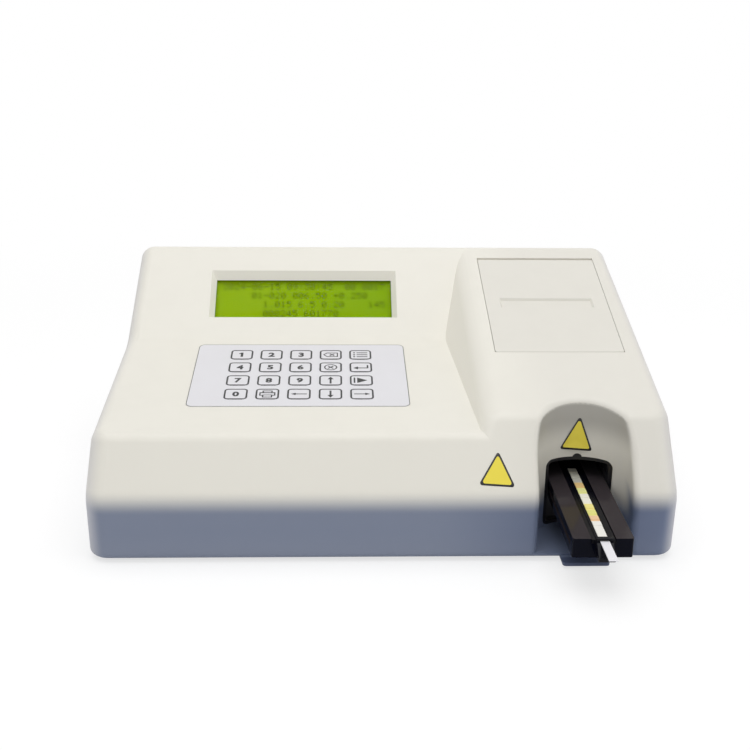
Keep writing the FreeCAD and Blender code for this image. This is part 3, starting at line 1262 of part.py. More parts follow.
def printer_lid():
    """Lid with a full-round hinge edge, stub pins, and a recess with the paper slit."""
    right = LID_LEFT_X + LID_WIDTH
    plate = box(LID_LEFT_X, right, -LID_TOP - LID_LENGTH, -LID_TOP - HINGE_RADIUS, -LID_THICKNESS, 0)
    front_corners = [edge for edge in plate.Edges if near(edge.Length, LID_THICKNESS, 0.01)
                     and edge.Vertexes[0].Point.y < -LID_TOP - LID_LENGTH / 2]
    plate = plate.makeFillet(1.5, front_corners)
    knuckle = hinge_rod(HINGE_RADIUS, LID_LEFT_X, right)
    pins = hinge_rod(HINGE_PIN_RADIUS, LID_LEFT_X - HINGE_PIN_LENGTH, right + HINGE_PIN_LENGTH)
    latch_y = -LID_TOP - LID_LENGTH + LID_LEDGE + 0.6
    latch = box(LID_CENTRE_X - LATCH_WIDTH / 2, LID_CENTRE_X + LATCH_WIDTH / 2, latch_y,
                latch_y + LATCH_THICKNESS, -LID_THICKNESS - LATCH_DEPTH, -LID_THICKNESS + 0.2)
    top = LID_TOP + SLOT_RECESS_DOWN
    half = SLOT_RECESS_WIDTH / 2
    foot = top + SLOT_RECESS_LENGTH
    slope = half + SLOT_RECESS_BEVEL
    outer = screen_rectangle(LID_CENTRE_X - slope, LID_CENTRE_X + slope, top - SLOT_RECESS_BEVEL, foot, 0)
    inner = screen_rectangle(LID_CENTRE_X - half, LID_CENTRE_X + half, top, foot, -SLOT_RECESS_DEPTH)
    recess = Part.makeLoft([outer, inner], True, True)
    front = -slit_place() - SLOT_OPENING / 2
    x0 = LID_CENTRE_X - SLOT_WIDTH / 2
    x1 = LID_CENTRE_X + SLOT_WIDTH / 2
    slit = box(x0, x1, front, front + SLOT_OPENING, -LID_THICKNESS - 1, 1 - SLOT_RECESS_DEPTH)
    bar_seat = box(x0, x1, front - TEAR_BAR_THICKNESS, front + 0.1,
                   -LID_THICKNESS - 1, -SLOT_RECESS_DEPTH - 0.2)
    return placed(fuse_all([plate, knuckle, pins, latch]).cut([recess, slit, bar_seat]), HOUSING_FRAME)


def tear_bar():
    """Toothed steel strip along the front edge of the paper slit."""
    front = -slit_place() - SLOT_OPENING / 2 - TEAR_BAR_THICKNESS
    top = -SLOT_RECESS_DEPTH - 0.2
    x0 = LID_CENTRE_X - SLOT_WIDTH / 2 + LIP_GAP
    count = int((SLOT_WIDTH - 2 * LIP_GAP) / TEAR_TOOTH)
    points = [V(x0, front, top - TEAR_BAR_HEIGHT)]
    for index in range(count):
        points.append(V(x0 + index * TEAR_TOOTH, front, top - 0.8))
        points.append(V(x0 + (index + 0.5) * TEAR_TOOTH, front, top))
    points.append(V(x0 + count * TEAR_TOOTH, front, top - 0.8))
    points.append(V(x0 + count * TEAR_TOOTH, front, top - TEAR_BAR_HEIGHT))
    return placed(prism(Part.makePolygon(points + points[:1]), V(0, TEAR_BAR_THICKNESS, 0)), HOUSING_FRAME)


def above_frame_foot():
    """Everything above the underside of the lid frame, to trim the paper tub."""
    return placed(box(-BIG, BIG, -BIG, BIG, -LID_FRAME_DEPTH, BIG), HOUSING_FRAME)


def paper_axis_z():
    """Level of the paper roll's axis above its saddle."""
    return TUB_FLOOR_Z + TUB_WALL + CRADLE_THICKNESS + TOUCH_GAP + PAPER_RADIUS


def platen_centre():
    """Place of the platen's axis, below the paper slit."""
    return HOUSING_FRAME.multVec(V(LID_CENTRE_X, -slit_place(), -PLATEN_DEPTH))


def chassis_box(x0, x1, ahead, behind, below, above_axis):
    """Block about the platen's axis, square to the housing's top face."""
    y = -slit_place()
    block = box(x0, x1, y - ahead, y + behind, -PLATEN_DEPTH - below, -PLATEN_DEPTH + above_axis)
    return placed(block, HOUSING_FRAME)


def paper_tub():
    """Open tub below the lid with the saddle of the paper roll and the printer's pedestal."""
    x0 = LID_LEFT_X + LID_LEDGE - 0.5
    x1 = LID_LEFT_X + LID_WIDTH - LID_LEDGE + 0.5
    front = HOUSING_FRAME.multVec(V(0, -LID_TOP - LID_LENGTH + LID_LEDGE, -LID_FRAME_DEPTH)).y - 0.5
    back = HOUSING_FRAME.multVec(V(0, -LID_TOP - 2 * HINGE_RADIUS - LID_GAP - 1.5, -LID_FRAME_DEPTH)).y + 0.5
    outside = box(x0 - TUB_WALL, x1 + TUB_WALL, front - TUB_WALL, back + TUB_WALL,
                  TUB_FLOOR_Z, TUB_FLOOR_Z + BIG)
    inside = box(x0, x1, front, back, TUB_FLOOR_Z + TUB_WALL, TUB_FLOOR_Z + BIG)
    floor = TUB_FLOOR_Z + TUB_WALL
    saddle_half = PAPER_WIDTH / 2 - 2
    saddle = box(LID_CENTRE_X - saddle_half, LID_CENTRE_X + saddle_half, PAPER_Y - PAPER_RADIUS + 3,
                 PAPER_Y + PAPER_RADIUS - 1, floor - 0.5, floor + 9)
    groove_axis = V(LID_CENTRE_X - 50, PAPER_Y, paper_axis_z() + CRADLE_GAP - TOUCH_GAP)
    groove = rod(PAPER_RADIUS + CRADLE_GAP, groove_axis, X_AXIS, 100)
    half = PLATEN_LENGTH / 2 - 3
    centre = platen_centre()
    pedestal = box(LID_CENTRE_X - half, LID_CENTRE_X + half, centre.y - CHASSIS_AHEAD + 6,
                   centre.y + CHASSIS_BEHIND, floor - 0.5, BIG)
    above_seat = box(-BIG, BIG, -BIG, BIG, -PLATEN_DEPTH - CHASSIS_BELOW, BIG)
    pedestal = pedestal.cut(placed(above_seat, HOUSING_FRAME))
    return fuse_all([outside.cut(inside).cut(above_frame_foot()), saddle.cut(groove), pedestal])


def printer_chassis():
    """Folded-plate frame of the printer with two cheeks that carry the platen."""
    outer = PLATEN_LENGTH / 2 + 1 + CHEEK_THICKNESS
    inner = PLATEN_LENGTH / 2 + 1
    base = chassis_box(LID_CENTRE_X - outer, LID_CENTRE_X + outer, CHASSIS_AHEAD, CHASSIS_BEHIND,
                       CHASSIS_BELOW, CHEEK_THICKNESS - CHASSIS_BELOW)
    left = chassis_box(LID_CENTRE_X - outer, LID_CENTRE_X - inner, CHASSIS_AHEAD, CHASSIS_BEHIND,
                       CHASSIS_BELOW, CHASSIS_ABOVE)
    right = chassis_box(LID_CENTRE_X + inner, LID_CENTRE_X + outer, CHASSIS_AHEAD, CHASSIS_BEHIND,
                        CHASSIS_BELOW, CHASSIS_ABOVE)
    front = chassis_box(LID_CENTRE_X - outer, LID_CENTRE_X + outer, CHASSIS_AHEAD,
                        -CHASSIS_AHEAD + CHEEK_THICKNESS, CHASSIS_BELOW, 0)
    holes = [rod(PLATEN_SHAFT_RADIUS + PIN_GAP, platen_centre() - X_AXIS * 50, X_AXIS, 100),
             rod(FEED_SHAFT_RADIUS + 0.5, feed_centre(), X_AXIS, 50)]
    return fuse_all([base, left, right, front]).cut(holes)


def thermal_head():
    """Print head plate behind the platen, standing on the chassis."""
    half = PLATEN_LENGTH / 2 - 1
    start = PLATEN_RADIUS + TOUCH_GAP
    return chassis_box(LID_CENTRE_X - half, LID_CENTRE_X + half, -start, start + THERMAL_HEAD_THICKNESS,
                       CHASSIS_BELOW - CHEEK_THICKNESS,
                       THERMAL_HEAD_HEIGHT - CHASSIS_BELOW + CHEEK_THICKNESS)


def platen_roller():
    """Rubber sleeve of the platen."""
    centre = platen_centre()
    start = V(LID_CENTRE_X - PLATEN_LENGTH / 2, centre.y, centre.z)
    sleeve = rod(PLATEN_RADIUS, start, X_AXIS, PLATEN_LENGTH)
    return sleeve.cut(rod(PLATEN_SHAFT_RADIUS, start - X_AXIS, X_AXIS, PLATEN_LENGTH + 2))


def gear_face_x():
    """X of the inner faces of the feed gears, outside the right cheek."""
    return LID_CENTRE_X + PLATEN_LENGTH / 2 + 1 + CHEEK_THICKNESS + 0.6


def platen_shaft():
    """Steel shaft through the platen, carried by both cheeks, with the gear on its end."""
    centre = platen_centre()
    x0 = LID_CENTRE_X - PLATEN_LENGTH / 2 - 1 - CHEEK_THICKNESS - 0.5
    x1 = gear_face_x() + FEED_GEAR_FACE + 0.5
    return rod(PLATEN_SHAFT_RADIUS, V(x0, centre.y, centre.z), X_AXIS, x1 - x0)


def feed_centre():
    """Place of the feed motor's axis, ahead of and below the platen."""
    spacing = FEED_MODULE * (PLATEN_GEAR_TEETH + FEED_PINION_TEETH) / 2 + 0.04
    return platen_centre() + V(0, -spacing, 0)


def platen_gear():
    """Large feed gear on the platen's shaft."""
    wheel = gear(PLATEN_GEAR_TEETH, FEED_MODULE, FEED_GEAR_FACE, 0.08, False)
    wheel = wheel.cut(rod(PLATEN_SHAFT_RADIUS, V(0, 0, -1), Z_AXIS, FEED_GEAR_FACE + 2))
    wheel.rotate(V(0, 0, 0), Z_AXIS, 90)
    return across(wheel, gear_face_x(), platen_centre())


def feed_pinion():
    """Small feed pinion with its motor shaft, in mesh with the platen gear."""
    wheel = gear(FEED_PINION_TEETH, FEED_MODULE, FEED_GEAR_FACE, 0.08, True)
    wheel.rotate(V(0, 0, 0), Z_AXIS, -90)
    wheel = across(wheel, gear_face_x(), feed_centre())
    centre = feed_centre()
    x0 = LID_CENTRE_X + PLATEN_LENGTH / 2 - 2
    x1 = gear_face_x() + FEED_GEAR_FACE + 0.3
    shaft = rod(FEED_SHAFT_RADIUS, V(x0, centre.y, centre.z), X_AXIS, x1 - x0)
    return fuse_all([wheel, shaft])


def feed_motor():
    """Small can motor of the paper feed, inside the right cheek."""
    centre = feed_centre()
    x1 = LID_CENTRE_X + PLATEN_LENGTH / 2 + 1
    can = rod(FEED_MOTOR_RADIUS, V(x1 - FEED_MOTOR_LENGTH, centre.y, centre.z), X_AXIS, FEED_MOTOR_LENGTH)
    return can.cut(rod(FEED_SHAFT_RADIUS + PIN_GAP, V(x1 - 4, centre.y, centre.z), X_AXIS, 5))


def paper_roll():
    """Roll of receipt paper on its core, resting in the saddle."""
    start = V(LID_CENTRE_X - PAPER_WIDTH / 2, PAPER_Y, paper_axis_z())
    roll = rod(PAPER_RADIUS, start, X_AXIS, PAPER_WIDTH)
    return roll.cut(rod(PAPER_CORE_RADIUS, start - X_AXIS, X_AXIS, PAPER_WIDTH + 2))


def board_plate(board):
    """Bare circuit board with its screw holes."""
    x, run, width, depth = board
    seat = board_seat_z()
    plate = box(x, x + width, run_y(run), run_y(run + depth), seat, seat + BOARD_THICKNESS)
    holes = [rod(BOARD_SCREW_RADIUS + SCREW_GAP, V(a, run_y(b), board_seat_z() - 1), Z_AXIS, 5)
             for a, b in board_corners(board)]
    return plate.cut(holes)


def main_board():
    """Control board with its processor, memory chips and connectors."""
    x, run, width, depth = MAIN_BOARD
    top = board_seat_z() + BOARD_THICKNESS
    parts = [board_plate(MAIN_BOARD)]
    parts.append(box(x + 55, x + 83, run_y(run + 44), run_y(run + 72), top - 0.5, top + 2.4))
    for index in range(4):
        x0 = x + 14 + index * 28
        parts.append(box(x0, x0 + 18, run_y(run + 14), run_y(run + 24), top - 0.5, top + 2.0))
        parts.append(box(x0, x0 + 20, run_y(run + depth - 14), run_y(run + depth - 7), top - 0.5, top + 8.0))
    for index in range(3):
        place = V(x + 22 + index * 13, run_y(run + 86), top - 0.5)
        parts.append(rod(4.0, place, Z_AXIS, 11.5))
    return fuse_all(parts)


def power_board():
    """Supply board with its heat sink, capacitors and terminals."""
    x, run, width, depth = POWER_BOARD
    top = board_seat_z() + BOARD_THICKNESS
    parts = [board_plate(POWER_BOARD)]
    for index in range(2):
        parts.append(rod(8.0, V(x + 16 + index * 19, run_y(run + 20), top - 0.5), Z_AXIS, 26))
    sink_x = x + width - 14
    parts.append(box(sink_x, sink_x + 3, run_y(run + 14), run_y(run + depth - 14), top - 0.5, top + 24))
    for index in range(5):
        y = run_y(run + 18 + index * 9)
        parts.append(box(sink_x - 8, sink_x + 1, y, y + 1.6, top + 4, top + 24))
    parts.append(box(x + 10, x + 34, run_y(run + depth - 16), run_y(run + depth - 6), top - 0.5, top + 10))
    return fuse_all(parts)


def transformer_core():
    """Laminated core of the mains transformer with its mounting strap."""
    y = run_y(TRANSFORMER_RUN)
    half_w = TRANSFORMER_WIDTH / 2
    half_d = TRANSFORMER_DEPTH / 4
    core = box(INLET_X - half_w, INLET_X + half_w, y - half_d, y + half_d, FLOOR_TOP,
               FLOOR_TOP + TRANSFORMER_HEIGHT)
    bar = TRANSFORMER_WIDTH / 6
    windows = []
    for side in (-1, 1):
        x = INLET_X + side * 1.5 * bar
        windows.append(box(x - bar / 2, x + bar / 2, y - 50, y + 50, FLOOR_TOP + bar,
                           FLOOR_TOP + TRANSFORMER_HEIGHT - bar))
    reach = half_w + STRAP_REACH
    feet = box(INLET_X - reach, INLET_X + reach, y - half_d, y + half_d, FLOOR_TOP,
               FLOOR_TOP + STRAP_THICKNESS)
    return fuse_all([core, feet]).cut(windows)


def transformer_winding():
    """Coil of the transformer around the middle limb."""
    y = run_y(TRANSFORMER_RUN)
    bar = TRANSFORMER_WIDTH / 6
    half_d = TRANSFORMER_DEPTH / 4
    low = FLOOR_TOP + bar + TOUCH_GAP
    high = FLOOR_TOP + TRANSFORMER_HEIGHT - bar - TOUCH_GAP
    outer = rounded_plate(INLET_X - 2 * bar + TOUCH_GAP, INLET_X + 2 * bar - TOUCH_GAP,
                          y - half_d - WINDING_GROWTH, y + half_d + WINDING_GROWTH, low, high, 5.0)
    limb = box(INLET_X - bar - TOUCH_GAP, INLET_X + bar + TOUCH_GAP, y - half_d - TOUCH_GAP,
               y + half_d + TOUCH_GAP, low - 1, high + 1)
    return outer.cut(limb)


def inlet_outline(width, height, chamfer, y):
    """Six-sided outline of the mains inlet with its two lower corners cut off."""
    half = width / 2
    low = SOCKET_Z - height / 2
    high = SOCKET_Z + height / 2
    points = [V(INLET_X - half, y, high), V(INLET_X + half, y, high),
              V(INLET_X + half, y, low + chamfer), V(INLET_X + half - chamfer, y, low),
              V(INLET_X - half + chamfer, y, low), V(INLET_X - half, y, low + chamfer)]
    return Part.makePolygon(points + points[:1])


def flange_y():
    """Y of the face in the back wall that the socket flanges seat on."""
    return BACK_Y - SOCKET_RECESS


def mains_inlet():
    """Mains inlet moulding with its flange and cavity."""
    y = flange_y()
    flange = rounded_plate(INLET_X - INLET_FLANGE_WIDTH / 2, INLET_X + INLET_FLANGE_WIDTH / 2,
                           SOCKET_Z - INLET_FLANGE_HEIGHT / 2, SOCKET_Z + INLET_FLANGE_HEIGHT / 2, 0,
                           INLET_FLANGE_THICKNESS, 5.0)
    flange.rotate(V(0, 0, 0), X_AXIS, 90)
    flange.translate(V(0, y + INLET_FLANGE_THICKNESS, 0))
    mouth = y + INLET_FLANGE_THICKNESS
    body = back_box(INLET_X, INLET_BODY_WIDTH, INLET_BODY_HEIGHT, mouth - INLET_BODY_DEPTH, y + 1)
    floor = mouth - INLET_CAVITY_DEPTH
    outline = inlet_outline(INLET_CAVITY_WIDTH, INLET_CAVITY_HEIGHT, INLET_CHAMFER, floor)
    cavity = prism(outline, V(0, INLET_CAVITY_DEPTH + 1, 0))
    holes = [rod(SCREW_RADIUS + SCREW_GAP,
                 V(INLET_X + side * INLET_SCREW_SPACING / 2, y - 1, SOCKET_Z), Y_AXIS, 5)
             for side in (-1, 1)]
    return fuse_all([flange, body]).cut([cavity] + holes)


def inlet_blades():
    """Three contact blades of the mains inlet."""
    root = flange_y() + INLET_FLANGE_THICKNESS - INLET_CAVITY_DEPTH
    blades = []
    for column, rise in ((-1, -1.0), (0, 2.0), (1, -1.0)):
        x = INLET_X + column * BLADE_PITCH
        z = SOCKET_Z + rise
        blades.append(box(x - BLADE_THICKNESS / 2, x + BLADE_THICKNESS / 2, root, root + BLADE_LENGTH,
                          z - BLADE_WIDTH / 2, z + BLADE_WIDTH / 2))
    return Part.makeCompound(blades)


def inlet_screws():
    """Two screws of the inlet's flange."""
    screws = []
    seat = flange_y() + INLET_FLANGE_THICKNESS
    for side in (-1, 1):
        x = INLET_X + side * INLET_SCREW_SPACING / 2
        head = rod(INLET_SCREW_HEAD, V(x, seat, SOCKET_Z), Y_AXIS, 1.2)
        shank = rod(SCREW_RADIUS, V(x, seat - 2.0, SOCKET_Z), Y_AXIS, 2.5)
        slot = box(x - 3, x + 3, seat + 0.6, seat + 3, SOCKET_Z - 0.35, SOCKET_Z + 0.35)
        screws.append(fuse_all([head, shank]).cut(slot))
    return Part.makeCompound(screws)


def rocker_axis():
    """Place of the rocker's pivot."""
    return V(SWITCH_X, flange_y() + 0.2, SOCKET_Z)


def switch_frame():
    """Frame and body of the power switch."""
    y = flange_y()
    flange = back_box(SWITCH_X, SWITCH_WIDTH, SWITCH_HEIGHT, y, y + 1.6)
    body = back_box(SWITCH_X, SWITCH_WIDTH - 2 * SWITCH_FLANGE, SWITCH_HEIGHT - 2 * SWITCH_FLANGE,
                    y - SWITCH_DEPTH, y + 1)
    half = ROCKER_WIDTH / 2 + TOUCH_GAP
    well = rod(ROCKER_RADIUS + TOUCH_GAP, rocker_axis() - X_AXIS * half, X_AXIS, 2 * half)
    pin_half = ROCKER_WIDTH / 2 + 0.9
    pins = rod(ROCKER_PIN_RADIUS + PIN_GAP, rocker_axis() - X_AXIS * pin_half, X_AXIS, 2 * pin_half)
    return fuse_all([flange, body]).cut([well, pins])


def power_rocker():
    """Rocker of the power switch, resting with its lower half pressed in."""
    centre = rocker_axis()
    drum = rod(ROCKER_RADIUS, centre - X_AXIS * (ROCKER_WIDTH / 2), X_AXIS, ROCKER_WIDTH)
    faces = []
    for side in (-1, 1):
        slab = box(centre.x - 20, centre.x + 20, centre.y + 1.6, centre.y + 30, centre.z - 30, centre.z + 30)
        slab.rotate(V(centre.x, centre.y + 1.6, centre.z), X_AXIS, side * ROCKER_TILT)
        faces.append(slab)
    back = box(centre.x - 20, centre.x + 20, centre.y - 30, centre.y - 4, centre.z - 30, centre.z + 30)
    drum = drum.cut(faces[0].common(faces[1])).cut(back)
    pin_half = ROCKER_WIDTH / 2 + 0.7
    pins = rod(ROCKER_PIN_RADIUS, centre - X_AXIS * pin_half, X_AXIS, 2 * pin_half)
    rocker = fuse_all([drum, pins])
    rocker.rotate(centre, X_AXIS, -ROCKER_TILT)
    return rocker


def serial_port():
    """Nine-way serial socket with its flange and jack posts."""
    y = flange_y()
    flange = back_box(SERIAL_X, SERIAL_FLANGE_WIDTH, SERIAL_FLANGE_HEIGHT, y, y + 0.8)
    half = SERIAL_SHELL_WIDTH / 2
    low = SOCKET_Z - SERIAL_SHELL_HEIGHT / 2
    high = SOCKET_Z + SERIAL_SHELL_HEIGHT / 2
    points = [V(SERIAL_X - half, y - 8, high), V(SERIAL_X + half, y - 8, high),
              V(SERIAL_X + half - 1.5, y - 8, low), V(SERIAL_X - half + 1.5, y - 8, low)]
    shell = prism(rounded_outline(points, [1.5] * 4), V(0, 8 + SERIAL_SHELL_REACH, 0))
    posts = []
    holes = []
    for side in (-1, 1):
        place = V(SERIAL_X + side * JACK_POST_SPACING / 2, y + 0.5, SOCKET_Z)
        posts.append(rod(JACK_POST_RADIUS, place, Y_AXIS, 5))
        holes.append(rod(JACK_POST_BORE, place + Y_AXIS * 1.5, Y_AXIS, 5))
    for count, side in ((5, 1), (4, -1)):
        for column in range(count):
            x = SERIAL_X + (column - (count - 1) / 2) * SERIAL_PIN_PITCH
            z = SOCKET_Z + side * SERIAL_ROW_PITCH / 2
            holes.append(rod(SERIAL_PIN_RADIUS, V(x, y + 1, z), Y_AXIS, 10))
    return fuse_all([flange, shell] + posts).cut(holes)


SIMPLE_PIECES = [
    upper_case, lower_case, case_screws, lcd_window, lcd_glass, lcd_module, keypad_overlay,
    keypad_switch_layer, printer_lid, tear_bar, paper_tub, printer_chassis, thermal_head, platen_roller,
    platen_shaft, platen_gear, feed_pinion, feed_motor, paper_roll, tray_guide, guide_screws, strip_tray,
    strip_insert, test_strip, tray_motor, motor_shaft, drive_pinion, optical_head, head_board,
    home_sensor, main_board, power_board, board_screws, transformer_core, transformer_winding,
    mains_inlet, inlet_blades, inlet_screws, switch_frame, power_rocker, serial_port]


def main():
    """Write every piece to its own file."""
    os.makedirs("parts", exist_ok=True)
    pieces = [(maker.__name__, maker()) for maker in SIMPLE_PIECES]
    for name, x, run in foot_places():
        pieces.append((name, rubber_foot(x, run)))
    for name, shape in pieces:
        shape.translate(V(0, ORIGIN_SHIFT, 0))
        shape.exportStep(os.path.join("parts", name + ".step"))


if __name__ == "__main__":
    main()
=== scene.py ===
"""Looks of a bench-top urine strip analyser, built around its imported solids.

Metres, in the row frame: +X is to the right, +Y to the back and +Z up, and the
origin lies on the bench under the middle of the whole length, strip included.
"""
import logging
import math
from dataclasses import dataclass
from enum import Enum
from itertools import groupby
from typing import Callable, Optional, Sequence, Union

import bmesh
import bpy
from mathutils import Matrix, Vector
from mathutils.bvhtree import BVHTree


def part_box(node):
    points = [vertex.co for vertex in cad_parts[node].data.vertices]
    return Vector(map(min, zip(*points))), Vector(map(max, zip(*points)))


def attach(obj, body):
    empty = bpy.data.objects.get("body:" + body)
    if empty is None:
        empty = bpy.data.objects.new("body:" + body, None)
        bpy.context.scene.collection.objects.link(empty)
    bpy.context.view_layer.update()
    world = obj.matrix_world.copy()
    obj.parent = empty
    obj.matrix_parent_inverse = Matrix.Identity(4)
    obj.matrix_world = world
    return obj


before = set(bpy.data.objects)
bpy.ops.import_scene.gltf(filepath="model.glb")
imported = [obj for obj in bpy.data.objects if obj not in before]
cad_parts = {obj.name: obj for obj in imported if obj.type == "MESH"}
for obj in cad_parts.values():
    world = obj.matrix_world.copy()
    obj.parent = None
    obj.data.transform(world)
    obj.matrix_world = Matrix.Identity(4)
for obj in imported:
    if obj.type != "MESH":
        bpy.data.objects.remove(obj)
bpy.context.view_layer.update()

NODES: dict[str, bpy.types.Object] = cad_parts
MM = 0.001
UPWARD = 0.5
PARALLEL = 0.9999
SAME_LEVEL = 0.02 * MM

Colour = tuple[float, float, float]
Point = tuple[float, float]
Span = tuple[float, float]
Socket = Union[bpy.types.NodeSocket, float, Sequence[float]]

log = logging.getLogger("analyser")


def srgb(red: int, green: int, blue: int) -> Colour:
    """Linear colour of a screen colour.

    Args:
        red: Red, 0 to 255.
        green: Green, 0 to 255.
        blue: Blue, 0 to 255.

    Returns:
        The linear red, green and blue, 0 to 1.
    """
    def linear(value: float) -> float:
        """Undo the screen curve of one channel."""
        share = value / 255
        return share / 12.92 if share <= 0.04045 else ((share + 0.055) / 1.055) ** 2.4

    return linear(red), linear(green), linear(blue)


class Graph:
    """Short forms for the nodes of one material or group."""

    def __init__(self, tree: bpy.types.NodeTree) -> None:
        """Keep the tree that nodes are added to."""
        self.tree = tree

    def node(self, kind: str, *values: Socket, sockets: Optional[dict[str, Socket]] = None,
             **settings: object) -> bpy.types.Node:
        """Add a node.

        Args:
            kind: Blender's name of the node type.
            values: What its first inputs get, in order.
            sockets: What other inputs get, by name.
            settings: Properties of the node to set.

        Returns:
            The new node.
        """
        made = self.tree.nodes.new(kind)
        for name, value in settings.items():
            setattr(made, name, value)
        for socket, value in zip(made.inputs, values):
            self.feed(socket, value)
        for name, value in (sockets or {}).items():
            self.feed(made.inputs[name], value)
        return made

    def feed(self, socket: bpy.types.NodeSocket, value: Socket) -> None:
        """Link a socket to another one, or set its own value."""
        if isinstance(value, bpy.types.NodeSocket):
            self.tree.links.new(value, socket)
        elif socket.type == "RGBA" and len(value) == 3:
            socket.default_value = (*value, 1.0)
        else:
            socket.default_value = value

    def math(self, operation: str, first: Socket, second: Socket = 0.0, third: Socket = 0.0,
             clamp: bool = False) -> bpy.types.NodeSocket:
        """Add a Math node.

        Args:
            operation: The node's operation.
            first: First value.
            second: Second value.
            third: Third value.
            clamp: True to keep the result between 0 and 1.

        Returns:
            The node's result.
        """
        made = self.node("ShaderNodeMath", first, second, third, operation=operation, use_clamp=clamp)
        return made.outputs[0]

    def mix(self, share: Socket, first: Socket, second: Socket) -> bpy.types.NodeSocket:
        """Mix two colours.

        Args:
            share: 0 for the first colour, 1 for the second.
            first: First colour.
            second: Second colour.

        Returns:
            The mixed colour.
        """
        made = self.node("ShaderNodeMix", share, data_type="RGBA")
        self.feed(made.inputs[6], first)
        self.feed(made.inputs[7], second)
        return made.outputs[2]

    def weighted(self, first: Socket, second: Socket, share: float) -> bpy.types.NodeSocket:
        """Sum of two values, the first with its share and the second with the rest."""
        return self.math("MULTIPLY_ADD", first, share, self.math("MULTIPLY", second, 1 - share))

    def around(self, value: Socket, spread: Socket, middle: Socket) -> bpy.types.NodeSocket:
        """Value from 0 to 1 turned into one about a middle, up to a spread away from it."""
        centred = self.math("SUBTRACT", value, 0.5)
        return self.math("MULTIPLY_ADD", centred, self.math("MULTIPLY", spread, 2.0), middle)

    def ramp_value(self, value: Socket, low: float, high: float, to_low: float = 0.0,
                   to_high: float = 1.0) -> bpy.types.NodeSocket:
        """Map a range of values smoothly to another.

        Args:
            value: Value to map.
            low: Value that gives to_low.
            high: Value that gives to_high.
            to_low: Result at the low end.
            to_high: Result at the high end.

        Returns:
            The mapped value.
        """
        return self.node("ShaderNodeMapRange", value, low, high, to_low, to_high,
                         interpolation_type="SMOOTHSTEP").outputs[0]

    def noise(self, vector: Socket, scale: Socket, detail: float = 3.0,
              roughness: float = 0.5) -> bpy.types.NodeSocket:
        """Add a noise texture.

        Args:
            vector: Place in the texture.
            scale: Size of the noise, in features per metre.
            detail: Octaves of detail.
            roughness: Strength of the finer octaves.

        Returns:
            The noise value.
        """
        return self.node("ShaderNodeTexNoise", sockets={
            "Vector": vector, "Scale": scale, "Detail": detail, "Roughness": roughness}).outputs[0]

    def per(self, size: Socket, count: float = 1.0) -> bpy.types.NodeSocket:
        """Scale of a texture that has a count of features in a size."""
        return self.math("DIVIDE", count, size)

    def falling(self, value: Socket, low: float, high: float) -> bpy.types.NodeSocket:
        """1 up to the low value, falling smoothly to 0 at the high one."""
        return self.ramp_value(value, low, high, 1.0, 0.0)

    def scaled(self, vector: Socket, factors: Sequence[float]) -> bpy.types.NodeSocket:
        """Stretch a vector along the axes."""
        return self.node("ShaderNodeVectorMath", vector, factors, operation="MULTIPLY").outputs[0]

    def place(self) -> bpy.types.NodeSocket:
        """Place on the piece, in metres of its own frame."""
        return self.node("ShaderNodeTexCoord").outputs["Object"]

    def split(self, vector: Socket) -> tuple[bpy.types.NodeSocket, ...]:
        """X, Y and Z of a vector."""
        return tuple(self.node("ShaderNodeSeparateXYZ", vector).outputs)

    def facing(self) -> bpy.types.NodeSocket:
        """Direction that the surface faces, in the piece's own frame."""
        return self.node("ShaderNodeTexCoord").outputs["Normal"]

    def bump(self, height: Socket, depth: float, before: Optional[Socket] = None) -> bpy.types.NodeSocket:
        """Relief from a height.

        Args:
            height: Height between 0 and 1.
            depth: Depth of the relief in metres.
            before: Normal that the relief is laid over.

        Returns:
            The new normal.
        """
        sockets = {"Distance": depth, "Height": height}
        if before is not None:
            sockets["Normal"] = before
        return self.node("ShaderNodeBump", sockets=sockets).outputs[0]


def fresh_graph(owner: Union[bpy.types.Material, bpy.types.World]) -> Graph:
    """Empty graph of a material or a world."""
    owner.use_nodes = True
    owner.node_tree.nodes.clear()
    return Graph(owner.node_tree)


Given = dict[str, bpy.types.NodeSocket]
SOCKET_KINDS = {"Vector": "NodeSocketVector", "Colour": "NodeSocketColor"}


def drift(graph: Graph, given: Given) -> Socket:
    """Slow change of tone over a surface, with a trace of mottling."""
    broad = graph.noise(given["Vector"], graph.per(given["Size"]), detail=2.0)
    fine = graph.noise(given["Vector"], graph.per(given["Size"], 9.0), detail=4.0, roughness=0.6)
    tone = graph.around(graph.weighted(fine, broad, share=0.35), given["Amount"], middle=1.0)
    return graph.node("ShaderNodeVectorMath", given["Colour"], sockets={"Scale": tone},
                      operation="SCALE").outputs[0]


def grain(graph: Graph, given: Given) -> Socket:
    """Fine spark-eroded texture of a mould."""
    cells = graph.node("ShaderNodeTexVoronoi", feature="SMOOTH_F1",
                       sockets={"Vector": given["Vector"], "Scale": graph.per(given["Size"])})
    cloud = graph.noise(given["Vector"], graph.per(given["Size"], 1.7), detail=3.0, roughness=0.6)
    return graph.weighted(cells.outputs["Distance"], cloud, share=0.6)


def brushed(graph: Graph, given: Given) -> Socket:
    """Long fine scratches of brushed or ground metal, along X."""
    lines = graph.scaled(given["Vector"], (0.03, 1.0, 1.0))
    return graph.noise(lines, graph.per(given["Size"]), detail=5.0, roughness=0.7)


def handling(graph: Graph, given: Given) -> Socket:
    """Roughness with faint smears where hands and cloths passed."""
    patches = graph.noise(given["Vector"], graph.per(given["Size"]), detail=4.0, roughness=0.55)
    stretched = graph.scaled(given["Vector"], (1.0, 0.35, 0.35))
    smears = graph.noise(stretched, graph.per(given["Size"], 6.0), detail=3.0)
    value = graph.around(graph.weighted(smears, patches, share=0.4), given["Spread"], given["Base"])
    return graph.math("MAXIMUM", value, 0.02)


